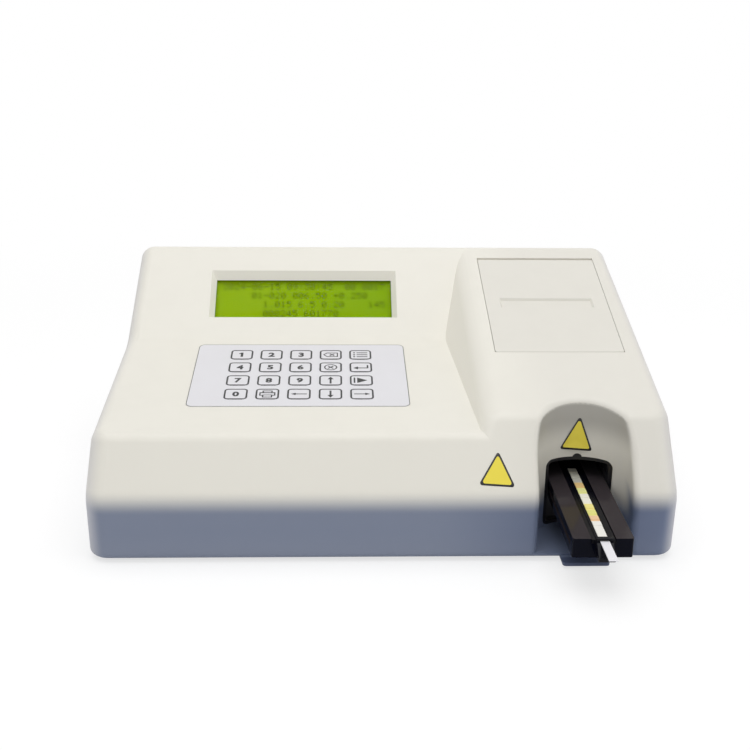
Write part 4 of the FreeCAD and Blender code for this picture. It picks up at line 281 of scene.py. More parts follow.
def settled_dust(graph: Graph, given: Given) -> Socket:
    """Thin dust on faces that look up, in drifts."""
    level = graph.ramp_value(given["Up"], low=0.35, high=0.95)
    drifts = graph.noise(given["Vector"], 45.0, detail=4.0, roughness=0.6)
    specks = graph.noise(given["Vector"], 1900.0, detail=2.0)
    faint = graph.math("MULTIPLY", graph.ramp_value(specks, low=0.66, high=0.74), 0.8)
    mask = graph.math("MAXIMUM", graph.ramp_value(drifts, low=0.38, high=0.7), faint)
    return graph.math("MULTIPLY", graph.math("MULTIPLY", mask, level), given["Amount"], clamp=True)


def stipple(graph: Graph, given: Given) -> Socket:
    """Coarse pitted skin of cast, rubber or pressed parts."""
    body = graph.noise(given["Vector"], graph.per(given["Size"]), detail=6.0, roughness=0.75)
    wide = graph.noise(given["Vector"], graph.per(given["Size"], 0.6), detail=2.0)
    return graph.math("MULTIPLY", body, graph.ramp_value(wide, low=0.3, high=0.45))


@dataclass(frozen=True)
class Recipe:
    """Node group of a shared effect: its name, inputs and output, and what fills it."""

    name: str
    inputs: tuple[str, ...]
    output: str
    fill: Callable[[Graph, Given], Socket]

    def tree(self) -> bpy.types.NodeTree:
        """The effect's node group, made at its first use."""
        made = bpy.data.node_groups.get(self.name)
        if made is not None:
            return made
        made = bpy.data.node_groups.new(self.name, "ShaderNodeTree")
        for names, way in ((self.inputs, "INPUT"), ((self.output,), "OUTPUT")):
            for name in names:
                made.interface.new_socket(name=name, in_out=way,
                                          socket_type=SOCKET_KINDS.get(name, "NodeSocketFloat"))
        graph = Graph(made)
        entry = graph.node("NodeGroupInput")
        end = graph.node("NodeGroupOutput")
        given = {socket.name: socket for socket in entry.outputs if socket.name}
        graph.feed(end.inputs[self.output], self.fill(graph, given))
        return made


class Effect(Enum):
    """Shared effects that several materials use."""

    DRIFT = Recipe("colour drift", ("Vector", "Colour", "Amount", "Size"), "Colour", drift)
    GRAIN = Recipe("moulded grain", ("Vector", "Size"), "Height", grain)
    BRUSHED = Recipe("brushed lines", ("Vector", "Size"), "Height", brushed)
    HANDLING = Recipe("handling marks", ("Vector", "Base", "Spread", "Size"), "Roughness", handling)
    DUST = Recipe("settled dust", ("Vector", "Up", "Amount"), "Mask", settled_dust)
    STIPPLE = Recipe("cast stipple", ("Vector", "Size"), "Height", stipple)


def apply_effect(graph: Graph, effect: Effect, **values: Socket) -> bpy.types.NodeSocket:
    """Place a shared effect in a material.

    Args:
        graph: The material's graph.
        effect: The effect to place.
        values: Inputs by name.

    Returns:
        The output's socket.
    """
    recipe = effect.value
    made = graph.node("ShaderNodeGroup", sockets=values, node_tree=recipe.tree(), label=recipe.name)
    return made.outputs[recipe.output]


class Relief(Enum):
    """Kinds of fine relief that a surface can have."""

    GRAIN = Effect.GRAIN
    BRUSHED = Effect.BRUSHED
    STIPPLE = Effect.STIPPLE
    NONE = None


@dataclass(frozen=True)
class Finish:
    """One surface finish: its colour, gloss and fine relief."""

    name: str
    colour: Colour
    roughness: float
    metallic: float = 0.0
    relief: Relief = Relief.GRAIN
    relief_size: float = 0.0005
    relief_depth: float = 0.00002
    drift: float = 0.02
    drift_size: float = 0.09
    smear: float = 0.05
    smear_size: float = 0.05
    dust: float = 0.0
    coat: float = 0.0
    coat_roughness: float = 0.08
    specular: float = 0.5

    def base_colour(self, graph: Graph) -> Socket:
        """Colour before drift and dust: one colour, unless a finish paints more."""
        return self.colour

    def extra_height(self, graph: Graph, normal: Optional[Socket]) -> Optional[Socket]:
        """Further relief over the fine one: none, unless a finish has some."""
        return normal

    def finish_shader(self, graph: Graph, shader: bpy.types.Node) -> bpy.types.NodeSocket:
        """Shader that goes to the surface: the plain one, unless a finish adds to it."""
        return shader.outputs[0]

    def material(self) -> bpy.types.Material:
        """The finish's material, made at its first use."""
        made = bpy.data.materials.get(self.name)
        if made is not None:
            return made
        made = bpy.data.materials.new(self.name)
        made.diffuse_color = (*self.colour, 1.0)
        graph = fresh_graph(made)
        place = graph.place()
        colour = apply_effect(graph, Effect.DRIFT, Vector=place, Colour=self.base_colour(graph),
                              Amount=self.drift, Size=self.drift_size)
        if self.dust > 0:
            up = graph.split(graph.facing())[2]
            mask = apply_effect(graph, Effect.DUST, Vector=place, Up=up, Amount=self.dust)
            colour = graph.mix(mask, colour, DUST_COLOUR)
        roughness = apply_effect(graph, Effect.HANDLING, Vector=place, Base=self.roughness,
                                 Spread=self.smear, Size=self.smear_size)
        sockets = {"Base Color": colour, "Roughness": roughness, "Metallic": self.metallic,
                   "Coat Weight": self.coat, "Coat Roughness": self.coat_roughness,
                   "Specular IOR Level": self.specular}
        normal = None
        if self.relief is not Relief.NONE:
            height = apply_effect(graph, self.relief.value, Vector=place, Size=self.relief_size)
            normal = graph.bump(height, self.relief_depth)
        normal = self.extra_height(graph, normal)
        if normal is not None:
            sockets["Normal"] = normal
        shader = graph.node("ShaderNodeBsdfPrincipled", sockets=sockets)
        graph.node("ShaderNodeOutputMaterial", self.finish_shader(graph, shader))
        return made


DUST_COLOUR = srgb(176, 170, 158)


@dataclass(frozen=True)
class Spot:
    """Place and facing of the shaded point, one value for each axis."""

    x: Socket
    y: Socket
    z: Socket
    side: Socket
    back: Socket
    up: Socket


@dataclass(frozen=True)
class CaseFinish(Finish):
    """Case plastic: cream above the belly, fading below it into a painted blue-grey that stands for shade
    and a blue reflection.
    """

    # Colours painted for light and shade: the blue-grey belly shade and reflection, its lit sides, its
    # shaded right end and alcove, and the shade on side and back faces and under the alcove's rim.
    belly_shade: Colour = srgb(128, 137, 158)
    belly_side_light: Colour = srgb(190, 191, 200)
    belly_right_shade: Colour = srgb(106, 118, 146)
    low_shade: Colour = srgb(52, 58, 80)
    high_right: Colour = srgb(229, 226, 217)
    side_back_shade: Colour = srgb(196, 196, 210)
    alcove_shade: Colour = srgb(122, 119, 113)
    lip: Colour = srgb(84, 94, 122)
    white: Colour = (1.0, 1.0, 1.0)
    fade: Span = (0.0305, 0.0440)
    floor_top: float = 0.03
    level: Span = (0.5, 0.9)
    low_right_x: Span = (0.02, 0.11)
    high_right_x: Span = (0.06, 0.11)
    outer_x: Span = (0.150, 0.160)
    side_turn: Span = (0.18, 0.98)
    back_turn: Span = (0.25, 0.9)
    side_back_shade_share: float = 0.3
    bounce_z: Span = (0.003, 0.022)
    bounce_share: float = 0.03
    lip_y: Span = (-0.0885, -0.0875)
    alcove_middle: float = 0.1158
    alcove_half: Span = (0.031, 0.034)
    alcove_mouth: Span = (-0.080, -0.062)
    alcove_end: Span = (-0.040, -0.035)
    alcove_fade: Span = (0.018, 0.032)
    alcove_low_share: float = 0.1
    recess_up: Span = (0.1, 0.45)
    recess_z: Span = (0.056, 0.073)
    recess_share: float = 0.55

    def base_colour(self, graph: Graph) -> Socket:
        """Cream and the painted blue-grey belly shade by height, with painted light and shade making
        stretches of both paler and deeper.
        """
        spot = Spot(*graph.split(graph.place()), *graph.split(graph.facing()))
        alcove = self.in_alcove(graph, spot)
        outer = graph.ramp_value(graph.math("ABSOLUTE", spot.x), *self.outer_x)
        aside = graph.ramp_value(graph.math("ABSOLUTE", spot.side), *self.side_turn)
        turned = graph.math("MULTIPLY", outer, aside)
        share = graph.ramp_value(spot.z, *self.fade)
        in_share = graph.math("MULTIPLY", alcove, graph.ramp_value(spot.z, *self.alcove_fade))
        # Upward faces above the floor stay cream: the painted belly shade and reflection lie only on faces
        # looking sideways or down.
        level = graph.math("MULTIPLY", graph.ramp_value(spot.up, *self.level),
                           graph.math("GREATER_THAN", spot.z, self.floor_top))
        share = graph.math("MAXIMUM", graph.math("MAXIMUM", share, in_share), level)
        return graph.mix(share, self.lower(graph, spot, turned, alcove),
                         self.upper(graph, spot, turned, alcove))

    def lower(self, graph: Graph, spot: Spot, turned: Socket, alcove: Socket) -> bpy.types.NodeSocket:
        """Painted blue-grey shade and reflection of the belly band, with painted bounce light near the
        floor, painted light on the outer sides, painted shade to the right and in the alcove, and the lip's
        colour at the front.

        Args:
            graph: The material's graph.
            spot: The shaded point.
            turned: How far the outer side faces left or right.
            alcove: 1 in the alcove.

        Returns:
            The colour.
        """
        # Painted blue-grey belly shade and reflection, darker towards the right near the tray as painted
        # shade.
        colour = graph.mix(graph.ramp_value(spot.x, *self.low_right_x), self.belly_shade, self.belly_right_shade)
        # Painted bounce light: the band turns a little whiter close to the floor.
        bounce = graph.ramp_value(spot.z, *self.bounce_z, self.bounce_share, 0.0)
        colour = graph.mix(bounce, colour, self.white)
        # Painted light on the outer sides: the band is paler where it faces left or right.
        colour = graph.mix(turned, colour, self.belly_side_light)
        # Painted shade in the alcove below the belly.
        colour = graph.mix(graph.math("MULTIPLY", alcove, self.alcove_low_share), colour, self.low_shade)
        return graph.mix(graph.falling(spot.y, *self.lip_y), colour, self.lip)

    def upper(self, graph: Graph, spot: Spot, turned: Socket, alcove: Socket) -> bpy.types.NodeSocket:
        """Cream of the upper case, slightly darker towards the right, with painted shade on faces turned to
        the sides or the back and in the alcove under its rim.

        Args:
            graph: The material's graph.
            spot: The shaded point.
            turned: How far the outer side faces left or right.
            alcove: 1 in the alcove.

        Returns:
            The colour.
        """
        # Painted shade on faces turned to the sides or the back.
        edge = graph.math("MAXIMUM", turned, graph.ramp_value(spot.back, *self.back_turn))
        colour = graph.mix(graph.ramp_value(spot.x, *self.high_right_x), self.colour, self.high_right)
        colour = graph.mix(graph.math("MULTIPLY", edge, self.side_back_shade_share), colour, self.side_back_shade)
        # Painted shade on the alcove's upright walls just under its rim.
        upright = graph.ramp_value(spot.up, *self.recess_up, self.recess_share, 0.0)
        recess = graph.math("MULTIPLY", alcove, upright)
        recess = graph.math("MULTIPLY", recess, graph.ramp_value(spot.z, *self.recess_z))
        return graph.mix(recess, colour, self.alcove_shade)

    def in_alcove(self, graph: Graph, spot: Spot) -> bpy.types.NodeSocket:
        """1 within the tray's alcove and 0 outside it."""
        away = graph.math("ABSOLUTE", graph.math("SUBTRACT", spot.x, self.alcove_middle))
        across = graph.falling(away, *self.alcove_half)
        behind = graph.ramp_value(spot.y, *self.alcove_mouth)
        before = graph.falling(spot.y, *self.alcove_end)
        return graph.math("MULTIPLY", across, graph.math("MULTIPLY", behind, before))


@dataclass(frozen=True)
class BoardFinish(Finish):
    """Circuit board: solder mask over copper tracks, with tinned dots."""

    track: Colour = (0.03, 0.16, 0.07)
    pad: Colour = (0.62, 0.60, 0.52)
    pitch: float = 0.0025
    dark: Colour = (0.02, 0.02, 0.022)
    board_top: float = 1.0
    part_blend: float = 0.0002
    track_scale: float = 0.45
    track_width: float = 0.09
    track_blur: float = 0.1
    pad_spread: float = 0.25
    pad_radius: Span = (0.16, 0.2)
    pad_share: float = 0.85

    def base_colour(self, graph: Graph) -> Socket:
        """Mask green with tracks and pads, and dark parts standing over it."""
        place = graph.place()
        bricks = graph.node("ShaderNodeTexBrick", offset=0.35, squash=0.7, sockets={
            "Vector": graph.scaled(place, (1 / self.pitch,) * 3), "Scale": self.track_scale,
            "Mortar Size": self.track_width, "Mortar Smooth": self.track_blur})
        tracks = graph.mix(bricks.outputs["Fac"], self.colour, self.track)
        dots = graph.node("ShaderNodeTexVoronoi", feature="F1", sockets={
            "Vector": place, "Scale": 1 / self.pitch, "Randomness": self.pad_spread})
        pads = graph.falling(dots.outputs["Distance"], *self.pad_radius)
        flat = graph.mix(graph.math("MULTIPLY", pads, self.pad_share), tracks, self.pad)
        raised = graph.ramp_value(graph.split(place)[2], self.board_top, self.board_top + self.part_blend)
        return graph.mix(raised, flat, self.dark)


@dataclass(frozen=True)
class BandedFinish(Finish):
    """Colours in bands along one axis, such as strip pads, laminations or windings."""

    axis: int = 1
    pitch: float = 0.001
    band: Colour = (0.1, 0.1, 0.1)
    share: float = 0.5
    blur: float = 0.06
    depth: float = 0.0

    def wave(self, graph: Graph) -> bpy.types.NodeSocket:
        """0 or 1 by turns along the axis, with soft edges."""
        along = graph.split(graph.place())[self.axis]
        phase = graph.math("FRACT", graph.math("DIVIDE", along, self.pitch))
        middle = graph.math("ABSOLUTE", graph.math("SUBTRACT", phase, 0.5))
        return graph.ramp_value(middle, self.share / 2 - self.blur, self.share / 2 + self.blur)

    def base_colour(self, graph: Graph) -> Socket:
        """The two colours by turns."""
        return graph.mix(self.wave(graph), self.band, self.colour)

    def extra_height(self, graph: Graph, normal: Optional[Socket]) -> Optional[Socket]:
        """Relief of the bands, if they have some."""
        return graph.bump(self.wave(graph), self.depth, normal) if self.depth else normal


@dataclass(frozen=True)
class StripFinish(Finish):
    """Reagent strip: coloured fields along its length on white plastic."""

    fields: tuple[tuple[float, Colour], ...] = ()
    start: float = 0.0
    stretch: float = 0.117

    def base_colour(self, graph: Graph) -> Socket:
        """Colour by distance from the strip's dry end."""
        along = graph.split(graph.place())[1]
        share = graph.math("DIVIDE", graph.math("SUBTRACT", along, self.start), self.stretch)
        ramp = graph.node("ShaderNodeValToRGB", share)
        ramp.color_ramp.interpolation = "CONSTANT"
        for index, (distance, colour) in enumerate(self.fields):
            if index < len(ramp.color_ramp.elements):
                element = ramp.color_ramp.elements[index]
                element.position = distance / self.stretch
            else:
                element = ramp.color_ramp.elements.new(distance / self.stretch)
            element.color = (*colour, 1.0)
        return ramp.outputs[0]


@dataclass(frozen=True)
class DisplayFinish(Finish):
    """Back-lit display glass: yellow-green, brighter to the left."""

    bright: Colour = srgb(134, 167, 6)
    deep: Colour = srgb(124, 161, 4)
    left: float = -0.11
    right: float = 0.011
    low: float = 0.0834
    high: float = 0.1111
    # edge, past, edge_shade and dark set the painted shadow at the rim of the glass.
    edge: float = 0.0035
    past: float = 0.0005
    edge_shade: float = 0.3
    dark: Colour = (0.02, 0.03, 0.0)
    glow: float = 0.12

    def base_colour(self, graph: Graph) -> Socket:
        """Glow that falls off to the right, with a painted shadow of the window's frame darkening the rim.
        """
        x, y, _ = graph.split(graph.place())
        glow = graph.mix(graph.ramp_value(x, self.left, self.right), self.bright, self.deep)
        inside = graph.math("MULTIPLY", self.rim(graph, x, self.left, self.right),
                            self.rim(graph, y, self.low, self.high))
        # Painted shadow of the window's frame, darkening the rim of the glass.
        shade = graph.math("MULTIPLY_ADD", inside, self.edge_shade, 1.0 - self.edge_shade)
        return graph.mix(shade, self.dark, glow)

    def rim(self, graph: Graph, along: Socket, low: float, high: float) -> bpy.types.NodeSocket:
        """0 at both ends of a span and 1 within it."""
        middle = (low + high) / 2
        reach = (high - low) / 2
        away = graph.math("ABSOLUTE", graph.math("SUBTRACT", along, middle))
        return graph.falling(away, reach - self.edge, reach + self.past)

    def finish_shader(self, graph: Graph, shader: bpy.types.Node) -> bpy.types.NodeSocket:
        """Add the light of the panel behind the glass."""
        graph.feed(shader.inputs["Emission Color"], self.base_colour(graph))
        shader.inputs["Emission Strength"].default_value = self.glow
        return shader.outputs[0]


@dataclass(frozen=True)
class TrayFinish(Finish):
    """Polished dark plastic, near black, with a painted reflection that makes its level faces paler."""

    # Paler colour of the level faces: a painted reflection.
    level: Colour = srgb(56, 51, 54)
    reflection_up: Span = (0.5, 0.95)

    def base_colour(self, graph: Graph) -> Socket:
        """The written colour, with a painted reflection making the level faces paler."""
        up = graph.split(graph.facing())[2]
        return graph.mix(graph.ramp_value(up, *self.reflection_up), self.colour, self.level)


@dataclass(frozen=True)
class ClearFinish(Finish):
    """Clear acrylic that lets light through to what lies behind it."""

    clearness: float = 0.975
    index: float = 1.49

    def finish_shader(self, graph: Graph, shader: bpy.types.Node) -> bpy.types.NodeSocket:
        """Thin clear sheet that bends no ray and casts no shadow."""
        shader.inputs["Transmission Weight"].default_value = 1.0
        shader.inputs["IOR"].default_value = self.index
        clear = graph.node("ShaderNodeBsdfTransparent")
        shadow = graph.node("ShaderNodeLightPath").outputs["Is Shadow Ray"]
        return graph.node("ShaderNodeMixShader", graph.math("MAXIMUM", shadow, self.clearness),
                          shader.outputs[0], clear.outputs[0]).outputs[0]


@dataclass(frozen=True)
class RollFinish(Finish):
    """Paper roll: white on its face, with the edges of its turns on its ends."""

    turn: float = 0.00022
    axis_y: float = 0.0931
    axis_z: float = 0.0889
    gap: Colour = (0.35, 0.34, 0.32)
    gap_width: float = 0.35
    gap_tone: float = 0.8
    end_turn: Span = (0.6, 0.9)

    def base_colour(self, graph: Graph) -> Socket:
        """Rings about the roll's axis on the ends, and plain paper round it."""
        _, y, z = graph.split(graph.place())
        across = graph.math("SUBTRACT", y, self.axis_y)
        up = graph.math("SUBTRACT", z, self.axis_z)
        radius = graph.math("SQRT", graph.math("ADD", graph.math("MULTIPLY", across, across),
                                               graph.math("MULTIPLY", up, up)))
        phase = graph.math("FRACT", graph.math("DIVIDE", radius, self.turn))
        ring = graph.ramp_value(phase, 0.0, self.gap_width, self.gap_tone, 1.0)
        side = graph.math("ABSOLUTE", graph.split(graph.facing())[0])
        tone = graph.math("MAXIMUM", ring, graph.falling(side, *self.end_turn))
        return graph.mix(tone, self.gap, self.colour)


def node_span(name: str, axis: int) -> tuple[float, float]:
    """Lowest and highest place of a node along an axis."""
    low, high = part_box(name)
    return low[axis], high[axis]


class Palette:
    """Every finish of the object."""

    CREAM = CaseFinish("cream case plastic", srgb(236, 233, 223), 0.44, relief_size=0.0006,
                       relief_depth=0.000012, drift=0.012, drift_size=0.16, dust=0.03, specular=0.45)
    LID = Finish("cream lid plastic", srgb(227, 224, 215), 0.42, relief_size=0.0006, relief_depth=0.000012,
                 drift=0.012, drift_size=0.12, dust=0.03, specular=0.45)
    RUBBER = Finish("foot rubber", (0.035, 0.035, 0.037), 0.8, relief=Relief.STIPPLE, relief_size=0.0009,
                    relief_depth=0.00006, dust=0.35, specular=0.3)
    WINDOW = ClearFinish("window acrylic", (0.97, 1.0, 0.97), 0.05, relief=Relief.NONE, drift=0.0,
                         smear=0.015, specular=0.12)
    DISPLAY = DisplayFinish("display glass", srgb(140, 172, 14), 0.5, relief=Relief.NONE, drift=0.015,
                            specular=0.0)
    FILM = Finish("keypad film", srgb(227, 226, 230), 0.36, relief_size=0.00035, relief_depth=0.000008,
                  drift=0.01, dust=0.03, specular=0.4)
    CONTACTS = Finish("contact film", (0.66, 0.68, 0.71), 0.3, relief=Relief.NONE)
    INK = Finish("printed ink", (0.012, 0.012, 0.014), 0.42, relief=Relief.NONE, drift=0.05, smear=0.03)
    LCD_INK = Finish("display dots", srgb(40, 62, 4), 0.5, relief=Relief.NONE, drift=0.03, specular=0.0)
    LANE = Finish("black guide plastic", (0.013, 0.013, 0.016), 0.34, relief_size=0.0007,
                  relief_depth=0.00002, drift=0.05, dust=0.05)
    TRAY = TrayFinish("polished black tray", (0.002, 0.0025, 0.008), 0.1, relief=Relief.NONE, drift=0.05,
                      smear=0.03, specular=0.07)
    HOLDER = Finish("black strip holder", (0.003, 0.003, 0.006), 0.24, relief_size=0.0005,
                    relief_depth=0.00001, drift=0.05, specular=0.16)
    STEEL = Finish("bright steel", (0.62, 0.62, 0.63), 0.3, 1.0, relief=Relief.BRUSHED, relief_size=0.0004,
                   relief_depth=0.000008, drift=0.05)
    SHEET = Finish("zinc-plated sheet", (0.66, 0.66, 0.64), 0.38, 1.0, relief=Relief.BRUSHED,
                   relief_size=0.0007, relief_depth=0.000012, drift=0.09, drift_size=0.02, dust=0.1)
    NYLON = Finish("natural nylon", (0.78, 0.75, 0.66), 0.38, relief_size=0.0006, relief_depth=0.00001,
                   drift=0.03, coat=0.1)
    ROLLER = Finish("roller rubber", (0.03, 0.03, 0.033), 0.65, relief=Relief.STIPPLE, relief_size=0.0004,
                    relief_depth=0.00002, dust=0.08)
    PAPER = RollFinish("thermal paper", (0.86, 0.86, 0.84), 0.5, relief=Relief.NONE, drift=0.01)
    TUB = Finish("grey tub plastic", srgb(186, 184, 176), 0.5, relief_size=0.0007, relief_depth=0.00002,
                 drift=0.03, dust=0.08)
    CORE = BandedFinish("varnished laminations", (0.24, 0.22, 0.2), 0.48, 0.6, relief=Relief.STIPPLE,
                        relief_size=0.0012, relief_depth=0.00003, axis=1, pitch=0.0006,
                        band=(0.07, 0.055, 0.045), depth=0.00003, drift=0.08)
    WINDING = BandedFinish("winding tape", (0.66, 0.5, 0.13), 0.4, axis=2, pitch=0.009,
                           band=(0.55, 0.4, 0.1), share=0.1, depth=0.00004, drift=0.05,
                           relief_size=0.0009)
    SOCKET = Finish("black socket plastic", (0.02, 0.02, 0.022), 0.36, relief_size=0.0006,
                    relief_depth=0.000015, dust=0.06)
    BLADES = Finish("nickel blades", (0.72, 0.68, 0.6), 0.22, 1.0, relief=Relief.BRUSHED,
                    relief_size=0.0005, relief_depth=0.000006)
    SCREEN_METAL = Finish("socket shell", (0.6, 0.6, 0.58), 0.28, 1.0, relief=Relief.BRUSHED,
                          relief_size=0.0005, relief_depth=0.000006, drift=0.05)
    CAN = Finish("motor can", (0.6, 0.6, 0.6), 0.35, 1.0, relief=Relief.BRUSHED, relief_size=0.0006,
                 relief_depth=0.00001, drift=0.06)
    # Painted shadow of the gap round the keypad film.
    GAP_SHADOW = Finish("film border", (0.22, 0.22, 0.20), 0.5, relief=Relief.NONE, drift=0.02)
    MARK = Finish("white marking", (0.75, 0.75, 0.73), 0.45, relief=Relief.NONE, drift=0.02)
    STICKER = Finish("sticker film", srgb(244, 226, 84), 0.4, relief=Relief.NONE, drift=0.02, specular=0.3)

    @staticmethod
    def board(name: str, top: float = 1.0) -> BoardFinish:
        """Circuit-board finish whose parts start at a height.

        Args:
            name: Name of the finish.
            top: Height of the board's upper face, or 1 for a bare board.

        Returns:
            The finish.
        """
        return BoardFinish(name, (0.04, 0.22, 0.09), 0.35, relief=Relief.NONE, board_top=top, dust=0.06)


def dress(name: str, finish: Finish) -> bpy.types.Object:
    """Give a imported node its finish.

    Args:
        name: The node.
        finish: Its finish.

    Returns:
        The node's object.
    """
    piece = NODES[name]
    made = finish.material()
    if not piece.material_slots:
        piece.data.materials.append(made)
    for slot in piece.material_slots:
        slot.material = made
    log.info("dressed %s with %s", name, finish.name)
    return piece


def dress_all(**finishes: Finish) -> None:
    """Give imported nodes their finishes, each node named with its finish."""
    for name, finish in finishes.items():
        dress(name, finish)


def linked(name: str, data: bpy.types.ID) -> bpy.types.Object:
    """New object in the scene that shows the data."""
    made = bpy.data.objects.new(name, data)
    bpy.context.scene.collection.objects.link(made)
    return made


def surface(name: str) -> BVHTree:
    """Surface of a node, to find where a straight line meets it."""
    mesh = NODES[name].data
    return BVHTree.FromPolygons([vertex.co for vertex in mesh.vertices],
                                [tuple(face.vertices) for face in mesh.polygons])


def frame_at(origin: Vector, right: Vector, up: Vector, out: Vector) -> Matrix:
    """Frame at a place, with its axes along three directions."""
    return Matrix.Translation(origin) @ Matrix((right, up, out)).transposed().to_4x4()


def face_frame(name: str) -> Matrix:
    """Frame of a sloping plate node: X to the right, Y up its slope and Z out of its top face.

    Args:
        name: The node.

    Returns:
        The frame, with its origin at the middle of the node's largest level face.
    """
    mesh = NODES[name].data
    upward = [face for face in mesh.polygons if face.normal.z > UPWARD]
    largest = max(upward, key=lambda face: face.area)
    flat = [face for face in upward if face.normal.dot(largest.normal) > PARALLEL]
    out = largest.normal.normalized()
    right = Vector((1, 0, 0))
    along = out.cross(right).normalized()
    level = largest.center.dot(out)
    corners = [mesh.vertices[i].co for face in flat for i in face.vertices
               if abs(face.center.dot(out) - level) < SAME_LEVEL]
    xs = [corner.x for corner in corners]
    ys = [corner.dot(along) for corner in corners]
    origin = right * (min(xs) + max(xs)) / 2 + along * (min(ys) + max(ys)) / 2 + out * level
    return frame_at(origin, right, along, out)


def arc(centre: Point, radius: float, start: float, end: float, steps: int) -> list[Point]:
    """Points on an arc.

    Args:
        centre: Middle of the arc.
        radius: Its radius.
        start: First angle in degrees.
        end: Last angle in degrees.
        steps: How many stretches it is cut into.

    Returns:
        The points, both ends included.
    """
    points = []
    for index in range(steps + 1):
        angle = math.radians(start + (end - start) * index / steps)
        points.append((centre[0] + radius * math.cos(angle), centre[1] + radius * math.sin(angle)))
    return points


def rounded_rectangle(width: float, height: float, radius: float, steps: int = 6) -> list[Point]:
    """Outline of a rectangle with rounded corners, about its middle.

    Args:
        width: Size along X.
        height: Size along Y.
        radius: Corner radius.
        steps: Stretches in each corner.

    Returns:
        The outline, anticlockwise.
    """
    x = width / 2 - radius
    y = height / 2 - radius
    points = []
    for quarter, (cx, cy) in enumerate(((x, y), (-x, y), (-x, -y), (x, -y))):
        points += arc((cx, cy), radius, quarter * 90, quarter * 90 + 90, steps)
    return points


def rounded_triangle(corners: Sequence[Point], radius: float, steps: int = 6) -> list[Point]:
    """Outline of a triangle with rounded corners.

    Args:
        corners: The three sharp corners, anticlockwise.
        radius: Corner radius.
        steps: Stretches in each corner.

    Returns:
        The outline, anticlockwise.
    """
    points = []
    for index, corner in enumerate(corners):
        here = Vector(corner)
        back = (Vector(corners[index - 1]) - here).normalized()
        ahead = (Vector(corners[(index + 1) % 3]) - here).normalized()
        half = back.angle(ahead) / 2
        centre = here + (back + ahead).normalized() * (radius / math.sin(half))
        start = math.degrees(math.atan2(*reversed(here + back * radius / math.tan(half) - centre)))
        sweep = 180 - math.degrees(2 * half)
        points += arc(tuple(centre), radius, start, start + sweep, steps)
    return points


def circle(centre: Point, radius: float, corners: int) -> list[Point]:
    """Points all round a circle."""
    return arc(centre, radius, 0, 360 - 360 / corners, corners - 1)


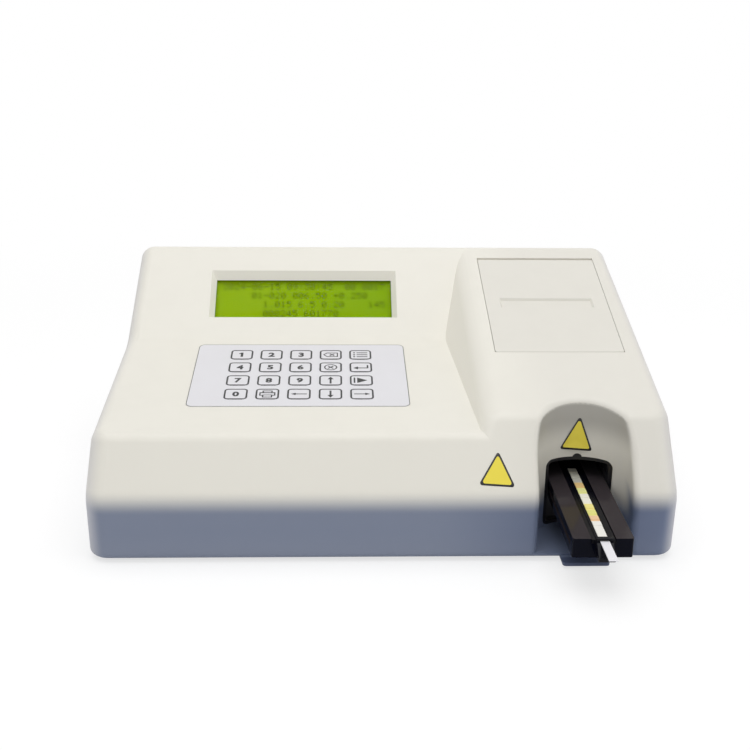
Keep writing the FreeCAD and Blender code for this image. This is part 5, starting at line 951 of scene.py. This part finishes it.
class Plates:
    """Builder of thin printed or applied shapes on a face."""

    def __init__(self, frame_on_face: Matrix) -> None:
        """Start with the frame whose XY plane is the face."""
        self.frame = frame_on_face
        self.mesh = bmesh.new()

    def point(self, x: float, y: float, z: float) -> bmesh.types.BMVert:
        """Add a corner given on the face."""
        return self.mesh.verts.new(self.frame @ Vector((x, y, z)))

    def prism(self, outline: Sequence[Point], low: float, high: float) -> None:
        """Add a plate.

        Args:
            outline: Its outline, anticlockwise.
            low: Level of its underside.
            high: Level of its top.
        """
        bottom = [self.point(x, y, low) for x, y in outline]
        top = [self.point(x, y, high) for x, y in outline]
        self.mesh.faces.new(top)
        self.mesh.faces.new(list(reversed(bottom)))
        for index in range(len(outline)):
            after = (index + 1) % len(outline)
            self.mesh.faces.new((bottom[index], bottom[after], top[after], top[index]))

    def ring(self, outer: Sequence[Point], inner: Sequence[Point], low: float, high: float) -> None:
        """Add a closed band between two outlines with equal counts of points.

        Args:
            outer: Outer outline, anticlockwise.
            inner: Inner outline, anticlockwise.
            low: Level of its underside.
            high: Level of its top.
        """
        loops = [[self.point(x, y, z) for x, y in outline]
                 for outline, z in ((outer, low), (outer, high), (inner, high), (inner, low))]
        for index in range(len(outer)):
            after = (index + 1) % len(outer)
            for level in range(4):
                here = loops[level]
                above = loops[(level + 1) % 4]
                self.mesh.faces.new((here[index], here[after], above[after], above[index]))

    def frame_line(self, centre: Point, outline: tuple[float, float, float], width: float, low: float,
                   high: float) -> None:
        """Add a band along the edge of a rounded rectangle.

        Args:
            centre: Middle of the rectangle.
            outline: Its width, height and corner radius.
            width: Breadth of the band.
            low: Level of its underside.
            high: Level of its top.
        """
        loops = (rounded_rectangle(*outline), rounded_rectangle(
            outline[0] - 2 * width, outline[1] - 2 * width, outline[2] - width))
        self.ring(*([(x + centre[0], y + centre[1]) for x, y in loop] for loop in loops), low, high)

    def hoop(self, centre: Point, radius: float, width: float, corners: int, low: float,
             high: float) -> None:
        """Add a round band.

        Args:
            centre: Its middle on the face.
            radius: Its outer radius.
            width: Its breadth.
            corners: Corners of its outline.
            low: Level of its underside.
            high: Level of its top.
        """
        self.ring(circle(centre, radius, corners), circle(centre, radius - width, corners), low, high)

    def bar(self, start: Point, end: Point, width: float, low: float, high: float) -> None:
        """Add a straight stroke between two points."""
        along = Vector(end) - Vector(start)
        side = Vector((-along.y, along.x)).normalized() * width / 2
        corners = [Vector(start) - side, Vector(end) - side, Vector(end) + side, Vector(start) + side]
        self.prism([tuple(corner) for corner in corners], low, high)

    def glyph(self, text: str, centre: Point, height: float, bold: float, low: float, high: float) -> None:
        """Add a numeral.

        Args:
            text: The numeral.
            centre: Its middle on the face.
            height: Its height.
            bold: Extra weight of its strokes, in parts of the height.
            low: Level of its underside.
            high: Level of its top.
        """
        curve = bpy.data.curves.new("numeral", "FONT")
        curve.body = text
        curve.resolution_u = 4
        curve.offset = bold
        holder = linked("numeral", curve)
        bpy.context.view_layer.update()
        flat = bpy.data.meshes.new_from_object(holder.evaluated_get(bpy.context.evaluated_depsgraph_get()))
        bpy.data.objects.remove(holder)
        bpy.data.curves.remove(curve)
        xs = [vertex.co.x for vertex in flat.vertices]
        ys = [vertex.co.y for vertex in flat.vertices]
        scale = height / (max(ys) - min(ys))
        shift = Vector(((min(xs) + max(xs)) / 2, (min(ys) + max(ys)) / 2))
        piece = bmesh.new()
        piece.from_mesh(flat)
        bpy.data.meshes.remove(flat)
        for vertex in piece.verts:
            vertex.co = Vector(((vertex.co.x - shift.x) * scale + centre[0],
                                (vertex.co.y - shift.y) * scale + centre[1], high))
        sides = bmesh.ops.extrude_face_region(piece, geom=piece.faces[:])
        for item in sides["geom"]:
            if isinstance(item, bmesh.types.BMVert):
                item.co.z = low
        bmesh.ops.recalc_face_normals(piece, faces=piece.faces)
        copied = {vertex: self.point(*vertex.co) for vertex in piece.verts}
        for face in piece.faces:
            self.mesh.faces.new([copied[vertex] for vertex in face.verts])
        piece.free()

    def piece(self, name: str, body: str, slot: str, finish: Finish) -> bpy.types.Object:
        """Make the object.

        Args:
            name: Its name.
            body: The body that it rides on.
            slot: Not used.
            finish: Its finish.

        Returns:
            The new object.
        """
        bmesh.ops.recalc_face_normals(self.mesh, faces=self.mesh.faces)
        return new_piece(self.mesh, name, body, [finish])


def new_piece(shape: bmesh.types.BMesh, name: str, body: str,
              finishes: Sequence[Finish]) -> bpy.types.Object:
    """Turn a built mesh into a piece of the object.

    Args:
        shape: The mesh, which is used up.
        name: Name of the piece.
        body: The body that it rides on.
        finishes: Its finishes, in the order of the faces' material numbers.

    Returns:
        The new object.
    """
    mesh = bpy.data.meshes.new(name)
    shape.to_mesh(mesh)
    shape.free()
    piece = linked(name, mesh)
    for finish in finishes:
        mesh.materials.append(finish.material())
    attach(piece, body)
    log.info("built %s on %s, %d faces", name, body, len(mesh.polygons))
    return piece


@dataclass
class CaseShells:
    """The two case halves with their screws and feet."""

    feet: tuple[str, ...] = ("foot_front_left", "foot_front_right", "foot_back_left", "foot_back_right")

    def build(self) -> None:
        """Dress the shells, the screws and the feet."""
        dress_all(upper_case=Palette.CREAM, lower_case=Palette.CREAM, case_screws=Palette.STEEL)
        dress_all(**dict.fromkeys(self.feet, Palette.RUBBER))


@dataclass
class Sticker:
    """Bare triangular sticker on an upright or leaning wall of the case."""

    name: str
    apex: Point
    left: Point
    right: Point
    start_y: float = -0.3
    corner_radius: float = 1.1 * MM
    border: float = 1.6 * MM
    thickness: float = 0.12 * MM
    rings: int = 6

    def build(self) -> bpy.types.Object:
        """Lay the sticker on the wall that its outline meets when it is pushed back along Y.

        Returns:
            The sticker's object.
        """
        wall = surface("upper_case")
        outline = rounded_triangle((self.left, self.right, self.apex), self.corner_radius)
        centre = Vector((sum(x for x, _ in outline), sum(z for _, z in outline))) / len(outline)
        reach = min((Vector(p) - centre).length for p in outline)
        inner = 1 - self.border / reach
        shares = [1.0, inner] + [inner * (1 - step / self.rings) for step in range(1, self.rings)]
        shape = bmesh.new()
        loops = [self.loop(shape, wall, outline, centre, 1.0, 0.0)]
        loops += [self.loop(shape, wall, outline, centre, share, self.thickness) for share in shares]
        for number, (here, following) in enumerate(zip(loops, loops[1:])):
            for index in range(len(outline)):
                after = (index + 1) % len(outline)
                face = shape.faces.new((here[index], here[after], following[after], following[index]))
                face.material_index = 1 if number >= 2 else 0
                face.smooth = True
        cap = shape.faces.new(loops[-1])
        cap.material_index = 1
        bmesh.ops.recalc_face_normals(shape, faces=shape.faces)
        return new_piece(shape, self.name, "case", [Palette.INK, Palette.STICKER])

    def loop(self, shape: bmesh.types.BMesh, wall: BVHTree, outline: Sequence[Point], centre: Vector,
             share: float, lift: float) -> list[bmesh.types.BMVert]:
        """One ring of the sticker, laid on the wall.

        Args:
            shape: The mesh to add to.
            wall: The case's surface.
            outline: The sticker's outline seen from the front.
            centre: Its middle.
            share: How far out the ring lies, 1 at the outline.
            lift: Height above the wall.

        Returns:
            The ring's corners.
        """
        corners = []
        for point in outline:
            flat = centre + (Vector(point) - centre) * share
            hit, normal, _, _ = wall.ray_cast(Vector((flat.x, self.start_y, flat.y)), Vector((0, 1, 0)))
            corners.append(shape.verts.new(hit + normal * lift))
        return corners


@dataclass
class DisplayPanel:
    """Display glass, its window and the dots of what it shows."""

    columns: int = 30
    visible_width: float = 121.0 * MM
    top_line: float = 12.9 * MM
    line_pitch: float = 7.75 * MM
    dot_width: float = 0.58 * MM
    dot_height: float = 0.66 * MM
    dot_rise: float = 0.02 * MM
    gap_x: float = 0.08 * MM
    gap_y: float = 0.1 * MM
    lines: tuple[tuple[int, str], ...] = (
        (1, "2024-06-15 09:30:45  00.0017"),
        (6, "01-020 006.50 +0.250"),
        (8, "1.015 6.5 0.20    145"),
        (8, "000245 601770"))

    def build(self) -> None:
        """Dress the display and write its readings in dots."""
        dress("lcd_window", Palette.WINDOW)
        dress("lcd_glass", Palette.DISPLAY)
        dress("lcd_module", Palette.board("display board"))
        plates = Plates(face_frame("lcd_glass"))
        cell_x = self.visible_width / self.columns
        for row, (start, text) in enumerate(self.lines):
            for offset, character in enumerate(text):
                x = -self.visible_width / 2 + (start + offset + 0.5) * cell_x
                y = self.top_line - row * self.line_pitch
                self.write(plates, character, x, y)
        plates.piece("display_readings", "case", "lcd_green", Palette.LCD_INK)

    def write(self, plates: Plates, character: str, x: float, y: float) -> None:
        """Write one character, runs of dots side by side joined to bars.

        Args:
            plates: The builder on the glass.
            character: A digit or mark of the dot font.
            x: Middle of the character.
            y: Middle of the character.
        """
        pitch_x = self.dot_width + self.gap_x
        pitch_y = self.dot_height + self.gap_y
        middle_row = DOT_ROWS // 2
        for line, bits in enumerate(DOT_FONT.get(character, ())):
            dots = [bits >> (DOT_COLUMNS - 1 - column) & 1 for column in range(DOT_COLUMNS)]
            for lit, run in groupby(range(DOT_COLUMNS), key=dots.__getitem__):
                if not lit:
                    continue
                columns = list(run)
                left = x + (columns[0] - DOT_COLUMNS / 2) * pitch_x
                right = x + (columns[-1] + 1 - DOT_COLUMNS / 2) * pitch_x - self.gap_x
                middle = y + (middle_row - line) * pitch_y
                plates.bar((left, middle), (right, middle), self.dot_height, 0.0, self.dot_rise)


DOT_COLUMNS = 5
DOT_ROWS = 7
DOT_FONT: dict[str, tuple[int, ...]] = {
    "0": (14, 17, 19, 21, 25, 17, 14),
    "1": (4, 12, 4, 4, 4, 4, 14),
    "2": (14, 17, 1, 2, 4, 8, 31),
    "3": (31, 2, 4, 2, 1, 17, 14),
    "4": (2, 6, 10, 18, 31, 2, 2),
    "5": (31, 16, 30, 1, 1, 17, 14),
    "6": (6, 8, 16, 30, 17, 17, 14),
    "7": (31, 1, 2, 4, 8, 8, 8),
    "8": (14, 17, 17, 14, 17, 17, 14),
    "9": (14, 17, 17, 15, 1, 2, 12),
    "-": (0, 0, 0, 31, 0, 0, 0),
    "+": (0, 4, 4, 31, 4, 4, 0),
    ":": (0, 4, 4, 0, 4, 4, 0),
    ".": (0, 0, 0, 0, 0, 4, 4),
}


@dataclass(frozen=True)
class Symbol:
    """Symbol of a function key, in millimetres from the key's middle.

    A stroke is its two ends' X and Y and its width, and a hoop its middle, radius and width.
    """

    strokes: tuple[tuple[float, float, float, float, float], ...] = ()
    patches: tuple[tuple[Point, ...], ...] = ()
    hoops: tuple[tuple[float, float, float, float], ...] = ()

    def turned(self) -> "Symbol":
        """The symbol turned half round."""
        return Symbol(tuple((-x0, -y0, -x1, -y1, width) for x0, y0, x1, y1, width in self.strokes),
                      tuple(tuple((-x, -y) for x, y in patch) for patch in self.patches))


class Legend(Enum):
    """Symbols on the function keys: tag, list, cross, bent arrow, run, printer and four arrows."""

    BACK = Symbol(((-4.6, 0, -2.2, 2.9, 0.7), (-4.6, 0, -2.2, -2.9, 0.7), (-2.3, 2.7, 4.6, 2.7, 0.8),
                   (-2.3, -2.7, 4.6, -2.7, 0.8), (4.3, -2.9, 4.3, 2.9, 0.7), (-0.7, 1.4, 2.3, -1.4, 0.8),
                   (-0.7, -1.4, 2.3, 1.4, 0.8)))
    LIST = Symbol(tuple((-2.4, y, 4.6, y, 1.0) for y in (-2.9, 0.0, 2.9)),
                  tuple(tuple(circle((-4.0, y), 0.75, 12)) for y in (-2.9, 0.0, 2.9)))
    CROSS = Symbol(((-1.7, 1.7, 1.7, -1.7, 0.9), (-1.7, -1.7, 1.7, 1.7, 0.9)), hoops=((0, 0, 4.2, 0.8),))
    RETURN = Symbol(((4.3, 3.2, 4.3, -1.3, 1.0), (4.7, -1.0, -2.4, -1.0, 1.0)),
                    (((-1.8, 1.0), (-4.8, -1.0), (-1.8, -3.0)),))
    RUN = Symbol(((-4.3, -3.6, -4.3, 3.6, 1.0),), (((-2.6, -3.6), (3.8, 0), (-2.6, 3.6)),))
    SHEET = Symbol(tuple(stroke for side in (-1, 1) for stroke in (
        (4.5 * side, -2.0, 4.5 * side, 1.8, 0.8), (2.7 * side, 1.8, 2.7 * side, 4.3, 0.8),
        (2.7 * side, -1.9, 2.7 * side, -4.3, 0.8), (4.8 * side, -1.7, 2.5 * side, -1.7, 0.9))) + (
        (-4.8, 1.6, 4.8, 1.6, 1.1), (-3.0, 4.0, 3.0, 4.0, 0.9), (-3.0, -4.1, 3.0, -4.1, 0.9),
        (-2.9, -1.3, 2.9, -1.3, 0.8)))
    UP = Symbol(((0, -4.4, 0, 1.6, 1.2),), (((-1.9, 1.4), (1.9, 1.4), (0, 4.8)),))
    RIGHT = Symbol(((-4.8, 0, 2.6, 0, 0.9),), (((2.0, -1.5), (5.0, 0), (2.0, 1.5)),))
    DOWN = UP.turned()
    LEFT = RIGHT.turned()


@dataclass
class Keypad:
    """Membrane keypad: film, contact layer and print."""

    pitch_x: float = 19.2 * MM
    pitch_y: float = 18.45 * MM
    first_x: float = -38.35 * MM
    first_y: float = 27.6 * MM
    key_width: float = 14.3 * MM
    key_height: float = 13.6 * MM
    key_corner: float = 2.6 * MM
    line: float = 1.05 * MM
    rise: float = 0.2 * MM
    ink: float = 0.03 * MM
    digit_height: float = 6.2 * MM
    digit_bold: float = 0.045
    film_width: float = 134.3 * MM
    film_height: float = 87.0 * MM
    film_corner: float = 4.0 * MM
    # Width of the painted gap shadow round the film.
    gap_shadow_width: float = 0.4 * MM
    hoop_corners: int = 24
    flag_tip: Point = (-0.3, 0.22)
    flag_top: Point = (0.04, 0.42)
    flag_width: float = 0.17
    flag_sink: float = 0.005 * MM
    rows: tuple[tuple[Union[str, Legend], ...], ...] = (
        ("1", "2", "3", Legend.BACK, Legend.LIST),
        ("4", "5", "6", Legend.CROSS, Legend.RETURN),
        ("7", "8", "9", Legend.UP, Legend.RUN),
        ("0", Legend.SHEET, Legend.LEFT, Legend.DOWN, Legend.RIGHT))

    def build(self) -> None:
        """Dress the film and print outlines and legends on it."""
        dress("keypad_overlay", Palette.FILM)
        dress("keypad_switch_layer", Palette.CONTACTS)
        plates = Plates(face_frame("keypad_overlay"))
        for row, legends in enumerate(self.rows):
            for column, legend in enumerate(legends):
                centre = (self.first_x + column * self.pitch_x, self.first_y - row * self.pitch_y)
                self.outline(plates, centre)
                if isinstance(legend, Legend):
                    self.symbol(plates, legend.value, centre)
                else:
                    self.digit(plates, legend, centre)
        plates.piece("keypad_print", "case", "keypad_film", Palette.INK)
        self.border()

    def border(self) -> None:
        """Lay the thin grey line round the film: a painted shadow of the gap round the film's pocket."""
        plates = Plates(face_frame("keypad_overlay"))
        plates.frame_line((0.0, 0.0), (self.film_width, self.film_height, self.film_corner),
                          self.gap_shadow_width, -self.ink, self.ink)
        plates.piece("keypad_border", "case", "keypad_film", Palette.GAP_SHADOW)

    def digit(self, plates: Plates, legend: str, centre: Point) -> None:
        """Print a numeral, with a flag on the one."""
        low, high = self.levels()
        plates.glyph(legend, centre, self.digit_height, self.digit_bold, low, high)
        if legend == "1":
            tip = self.beside(centre, self.flag_tip, self.digit_height)
            top = self.beside(centre, self.flag_top, self.digit_height)
            plates.bar(tip, top, self.flag_width * self.digit_height, low, high - self.flag_sink)

    @staticmethod
    def beside(centre: Point, away: Point, unit: float = MM) -> Point:
        """Place on the face at a distance from a key's middle, counted in a unit."""
        return centre[0] + away[0] * unit, centre[1] + away[1] * unit

    def levels(self) -> tuple[float, float]:
        """Underside and top of the ink on a raised key."""
        return self.rise - self.ink, self.rise + self.ink

    def outline(self, plates: Plates, centre: Point) -> None:
        """Print the frame line of a key."""
        low, high = self.levels()
        plates.frame_line(centre, (self.key_width, self.key_height, self.key_corner), self.line,
                          low - self.rise, high)

    def symbol(self, plates: Plates, symbol: Symbol, centre: Point) -> None:
        """Print the symbol of a function key.

        Args:
            plates: The builder on the film.
            symbol: The symbol.
            centre: Middle of the key.
        """
        low, high = self.levels()
        for x0, y0, x1, y1, width in symbol.strokes:
            plates.bar(self.beside(centre, (x0, y0)), self.beside(centre, (x1, y1)), width * MM, low, high)
        for patch in symbol.patches:
            plates.prism([self.beside(centre, point) for point in patch], low, high)
        for x, y, radius, width in symbol.hoops:
            plates.hoop(self.beside(centre, (x, y)), radius * MM, width * MM, self.hoop_corners, low, high)


class Printer:
    """Receipt printer under its hinged lid."""

    def build(self) -> None:
        """Dress the printer's pieces."""
        dress_all(printer_lid=Palette.LID, tear_bar=Palette.STEEL, paper_tub=Palette.TUB,
                  printer_chassis=Palette.SHEET, platen_roller=Palette.ROLLER, platen_shaft=Palette.STEEL,
                  platen_gear=Palette.NYLON, feed_pinion=Palette.NYLON, feed_motor=Palette.CAN,
                  paper_roll=Palette.PAPER, thermal_head=Palette.board("print head plate"))


@dataclass
class StripCarriage:
    """Tray with its strip holder and strip, in its guide."""

    bare_white: Colour = srgb(241, 239, 232)
    fields: tuple[tuple[float, Colour], ...] = (
        (0.0, srgb(236, 235, 240)), (22.0, bare_white), (45.4, srgb(240, 202, 158)),
        (52.2, srgb(232, 228, 136)), (58.6, srgb(246, 234, 146)), (67.5, srgb(246, 244, 228)),
        (80.4, srgb(238, 238, 160)), (88.9, srgb(240, 206, 142)), (96.4, srgb(214, 213, 200)),
        (104.0, srgb(226, 224, 208)), (110.0, srgb(220, 217, 200)))

    def build(self) -> None:
        """Dress the carriage and give the strip its coloured fields."""
        dress_all(tray_guide=Palette.LANE, guide_screws=Palette.STEEL, strip_tray=Palette.TRAY,
                  strip_insert=Palette.HOLDER, test_strip=self.strip_finish())

    def strip_finish(self) -> StripFinish:
        """Finish of the strip, its fields set out from its dry end."""
        low, high = node_span("test_strip", 1)
        return StripFinish("reagent strip", self.bare_white, 0.5, relief_size=0.0008, relief_depth=0.00002,
                           drift=0.03, drift_size=0.01,
                           fields=tuple((distance * MM, colour) for distance, colour in self.fields),
                           start=low, stretch=high - low)


@dataclass
class Mechanism:
    """Tray drive, reading head, boards and transformer inside the case."""

    board_top: float = 13.7 * MM
    head_board_top: float = 59.2 * MM

    def build(self) -> None:
        """Dress the drive, the head, the boards and the transformer."""
        dress_all(tray_motor=Palette.CAN, motor_shaft=Palette.STEEL, drive_pinion=Palette.NYLON,
                  optical_head=Palette.LANE, home_sensor=Palette.SOCKET, board_screws=Palette.STEEL,
                  transformer_core=Palette.CORE, transformer_winding=Palette.WINDING,
                  main_board=Palette.board("control board", self.board_top),
                  power_board=Palette.board("supply board", self.board_top),
                  head_board=Palette.board("head sensor board", self.head_board_top))


@dataclass
class BackPanel:
    """Mains inlet, power switch and serial socket in the back wall."""

    mark_rise: float = 0.05 * MM
    mark_up: float = 4.2 * MM
    stroke_height: float = 3.0 * MM
    stroke_width: float = 0.7 * MM
    ring_radius: float = 1.5 * MM
    ring_corners: int = 48
    away: float = 50 * MM

    def build(self) -> None:
        """Dress the sockets and the switch, and mark the rocker's two halves."""
        dress_all(mains_inlet=Palette.SOCKET, inlet_blades=Palette.BLADES, inlet_screws=Palette.STEEL,
                  switch_frame=Palette.SOCKET, power_rocker=Palette.SOCKET, serial_port=Palette.SCREEN_METAL)
        self.mark_rocker()

    def mark_rocker(self) -> None:
        """Print a stroke on the upper half of the rocker and a ring on the lower one."""
        stroke = Plates(self.rocker_frame(self.mark_up))
        half = self.stroke_height / 2
        stroke.bar((0.0, -half), (0.0, half), self.stroke_width, -self.mark_rise, self.mark_rise)
        stroke.piece("rocker_stroke", "rocker", "socket_black", Palette.MARK)
        ring = Plates(self.rocker_frame(-self.mark_up))
        ring.hoop((0.0, 0.0), self.ring_radius, self.stroke_width, self.ring_corners, -self.mark_rise,
                  self.mark_rise)
        ring.piece("rocker_ring", "rocker", "socket_black", Palette.MARK)

    def rocker_frame(self, above: float) -> Matrix:
        """Frame on the rocker's face at a height from its middle: Z points out of the face.

        Args:
            above: Height over the rocker's middle.

        Returns:
            The frame.
        """
        face = surface("power_rocker")
        low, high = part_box("power_rocker")
        start = Vector(((low[0] + high[0]) / 2, high[1] + self.away, (low[2] + high[2]) / 2 + above))
        place, out, _, _ = face.ray_cast(start, Vector((0, -1, 0)))
        right = Vector((-1, 0, 0))
        return frame_at(place, right, out.cross(right).normalized(), out)


@dataclass
class Studio:
    """Floor, lights and the photograph's camera."""

    place: tuple[float, float, float] = (-0.02811, -0.69056, 0.33106)
    pitch: float = 19.67
    yaw: float = 2.07
    roll: float = 0.7
    focal_pixels: float = 1182.71
    image_pixels: float = 750.0
    sensor: float = 36.0
    floor_size: float = 12.0
    floor_fade: Span = (0.35, 0.8)
    floor_matt: float = 0.9
    floor_seen: float = 0.36
    floor_glow: float = 0.68
    world_light: float = 0.51
    near_clip: float = 0.01
    panels: tuple[tuple[str, Colour, Colour, float, float], ...] = (
        ("overhead", (0.0, -0.1, 1.5), (0.0, 0.0, 0.0), 1.5, 12.0),
        ("front_left", (-1.1, -1.4, 0.9), (0.0, 0.0, 0.05), 1.0, 0.8),
        ("right", (1.5, -0.3, 0.7), (0.0, 0.0, 0.05), 0.9, 2.0))

    def build(self) -> None:
        """Set up the camera, the lights, the floor and the world."""
        self.add_camera()
        self.add_floor()
        self.add_lights()
        self.set_world()
        bpy.context.scene.view_settings.view_transform = "Standard"

    def add_camera(self) -> None:
        """Camera at the photograph's place, aim and field of view."""
        data = bpy.data.cameras.new("camera")
        data.sensor_width = self.sensor
        data.lens = self.focal_pixels / self.image_pixels * self.sensor
        data.clip_start = self.near_clip
        camera = linked("camera", data)
        pitch, yaw, roll = (math.radians(angle) for angle in (self.pitch, self.yaw, self.roll))
        forward = Vector((math.sin(yaw) * math.cos(pitch), math.cos(yaw) * math.cos(pitch),
                          -math.sin(pitch)))
        level = Vector((math.cos(yaw), -math.sin(yaw), 0.0))
        upright = level.cross(forward)
        right = level * math.cos(roll) + upright * math.sin(roll)
        up = upright * math.cos(roll) - level * math.sin(roll)
        camera.matrix_world = frame_at(Vector(self.place), right, up, -forward)
        bpy.context.scene.camera = camera

    def add_floor(self) -> None:
        """Large pale floor that keeps the object's shadow."""
        shape = bmesh.new()
        bmesh.ops.create_grid(shape, x_segments=1, y_segments=1, size=self.floor_size / 2)
        mesh = bpy.data.meshes.new("floor")
        shape.to_mesh(mesh)
        shape.free()
        floor = linked("floor", mesh)
        material = bpy.data.materials.new("pale floor")
        graph = fresh_graph(material)
        matt = graph.node("ShaderNodeBsdfDiffuse", (self.floor_matt,) * 3)
        seen = graph.node("ShaderNodeBsdfDiffuse", (self.floor_seen,) * 3)
        glow = graph.node("ShaderNodeEmission", sockets={"Strength": self.floor_glow})
        both = graph.node("ShaderNodeAddShader", seen.outputs[0], glow.outputs[0])
        white = graph.node("ShaderNodeEmission")
        distance = graph.node("ShaderNodeVectorMath", graph.place(), operation="LENGTH").outputs["Value"]
        faded = graph.node("ShaderNodeMixShader", graph.ramp_value(distance, *self.floor_fade),
                           both.outputs[0], white.outputs[0])
        camera_ray = graph.node("ShaderNodeLightPath").outputs["Is Camera Ray"]
        mixed = graph.node("ShaderNodeMixShader", camera_ray, matt.outputs[0], faded.outputs[0])
        graph.node("ShaderNodeOutputMaterial", mixed.outputs[0])
        mesh.materials.append(material)

    def add_lights(self) -> None:
        """Soft panels: one overhead, one from the front left and one from the right."""
        for panel in self.panels:
            self.panel(*panel)

    def panel(self, name: str, place: Sequence[float], target: Sequence[float], size: float,
              power: float) -> None:
        """Add a square soft light.

        Args:
            name: Its name.
            place: Where it stands.
            target: What it faces.
            size: Its side.
            power: Its power in watts.
        """
        data = bpy.data.lights.new(name, "AREA")
        data.size = size
        data.energy = power
        light = linked(name, data)
        light.location = place
        light.rotation_euler = (Vector(target) - Vector(place)).to_track_quat("-Z", "Y").to_euler()

    def set_world(self) -> None:
        """Even surround that lights the object and shows white."""
        world = bpy.data.worlds.new("surround")
        graph = fresh_graph(world)
        rays = graph.node("ShaderNodeLightPath").outputs
        seen = graph.math("MAXIMUM", rays["Is Camera Ray"], rays["Is Transmission Ray"])
        seen = graph.math("MAXIMUM", seen, rays["Is Glossy Ray"])
        strength = graph.math("MULTIPLY_ADD", seen, 1.0 - self.world_light, self.world_light)
        background = graph.node("ShaderNodeBackground", (1.0, 1.0, 1.0), strength)
        graph.node("ShaderNodeOutputWorld", background.outputs[0])
        bpy.context.scene.world = world


STICKERS = (
    Sticker("front_sticker", (65.4 * MM, 62.9 * MM), (53.6 * MM, 46.6 * MM), (74.7 * MM, 45.4 * MM)),
    Sticker("alcove_sticker", (117.2 * MM, 74.2 * MM), (105.6 * MM, 53.6 * MM), (125.5 * MM, 52.0 * MM)),
)


def main() -> None:
    """Build the looks in order and report each piece."""
    logging.basicConfig(level=logging.INFO, format="%(message)s")
    for assembly in (CaseShells(), DisplayPanel(), Keypad(), Printer(), StripCarriage(), Mechanism(),
                     BackPanel()):
        log.info("sub-assembly: %s", type(assembly).__name__)
        assembly.build()
    for sticker in STICKERS:
        sticker.build()
    Studio().build()
    bpy.context.view_layer.update()


if __name__ == "__main__":
    main()
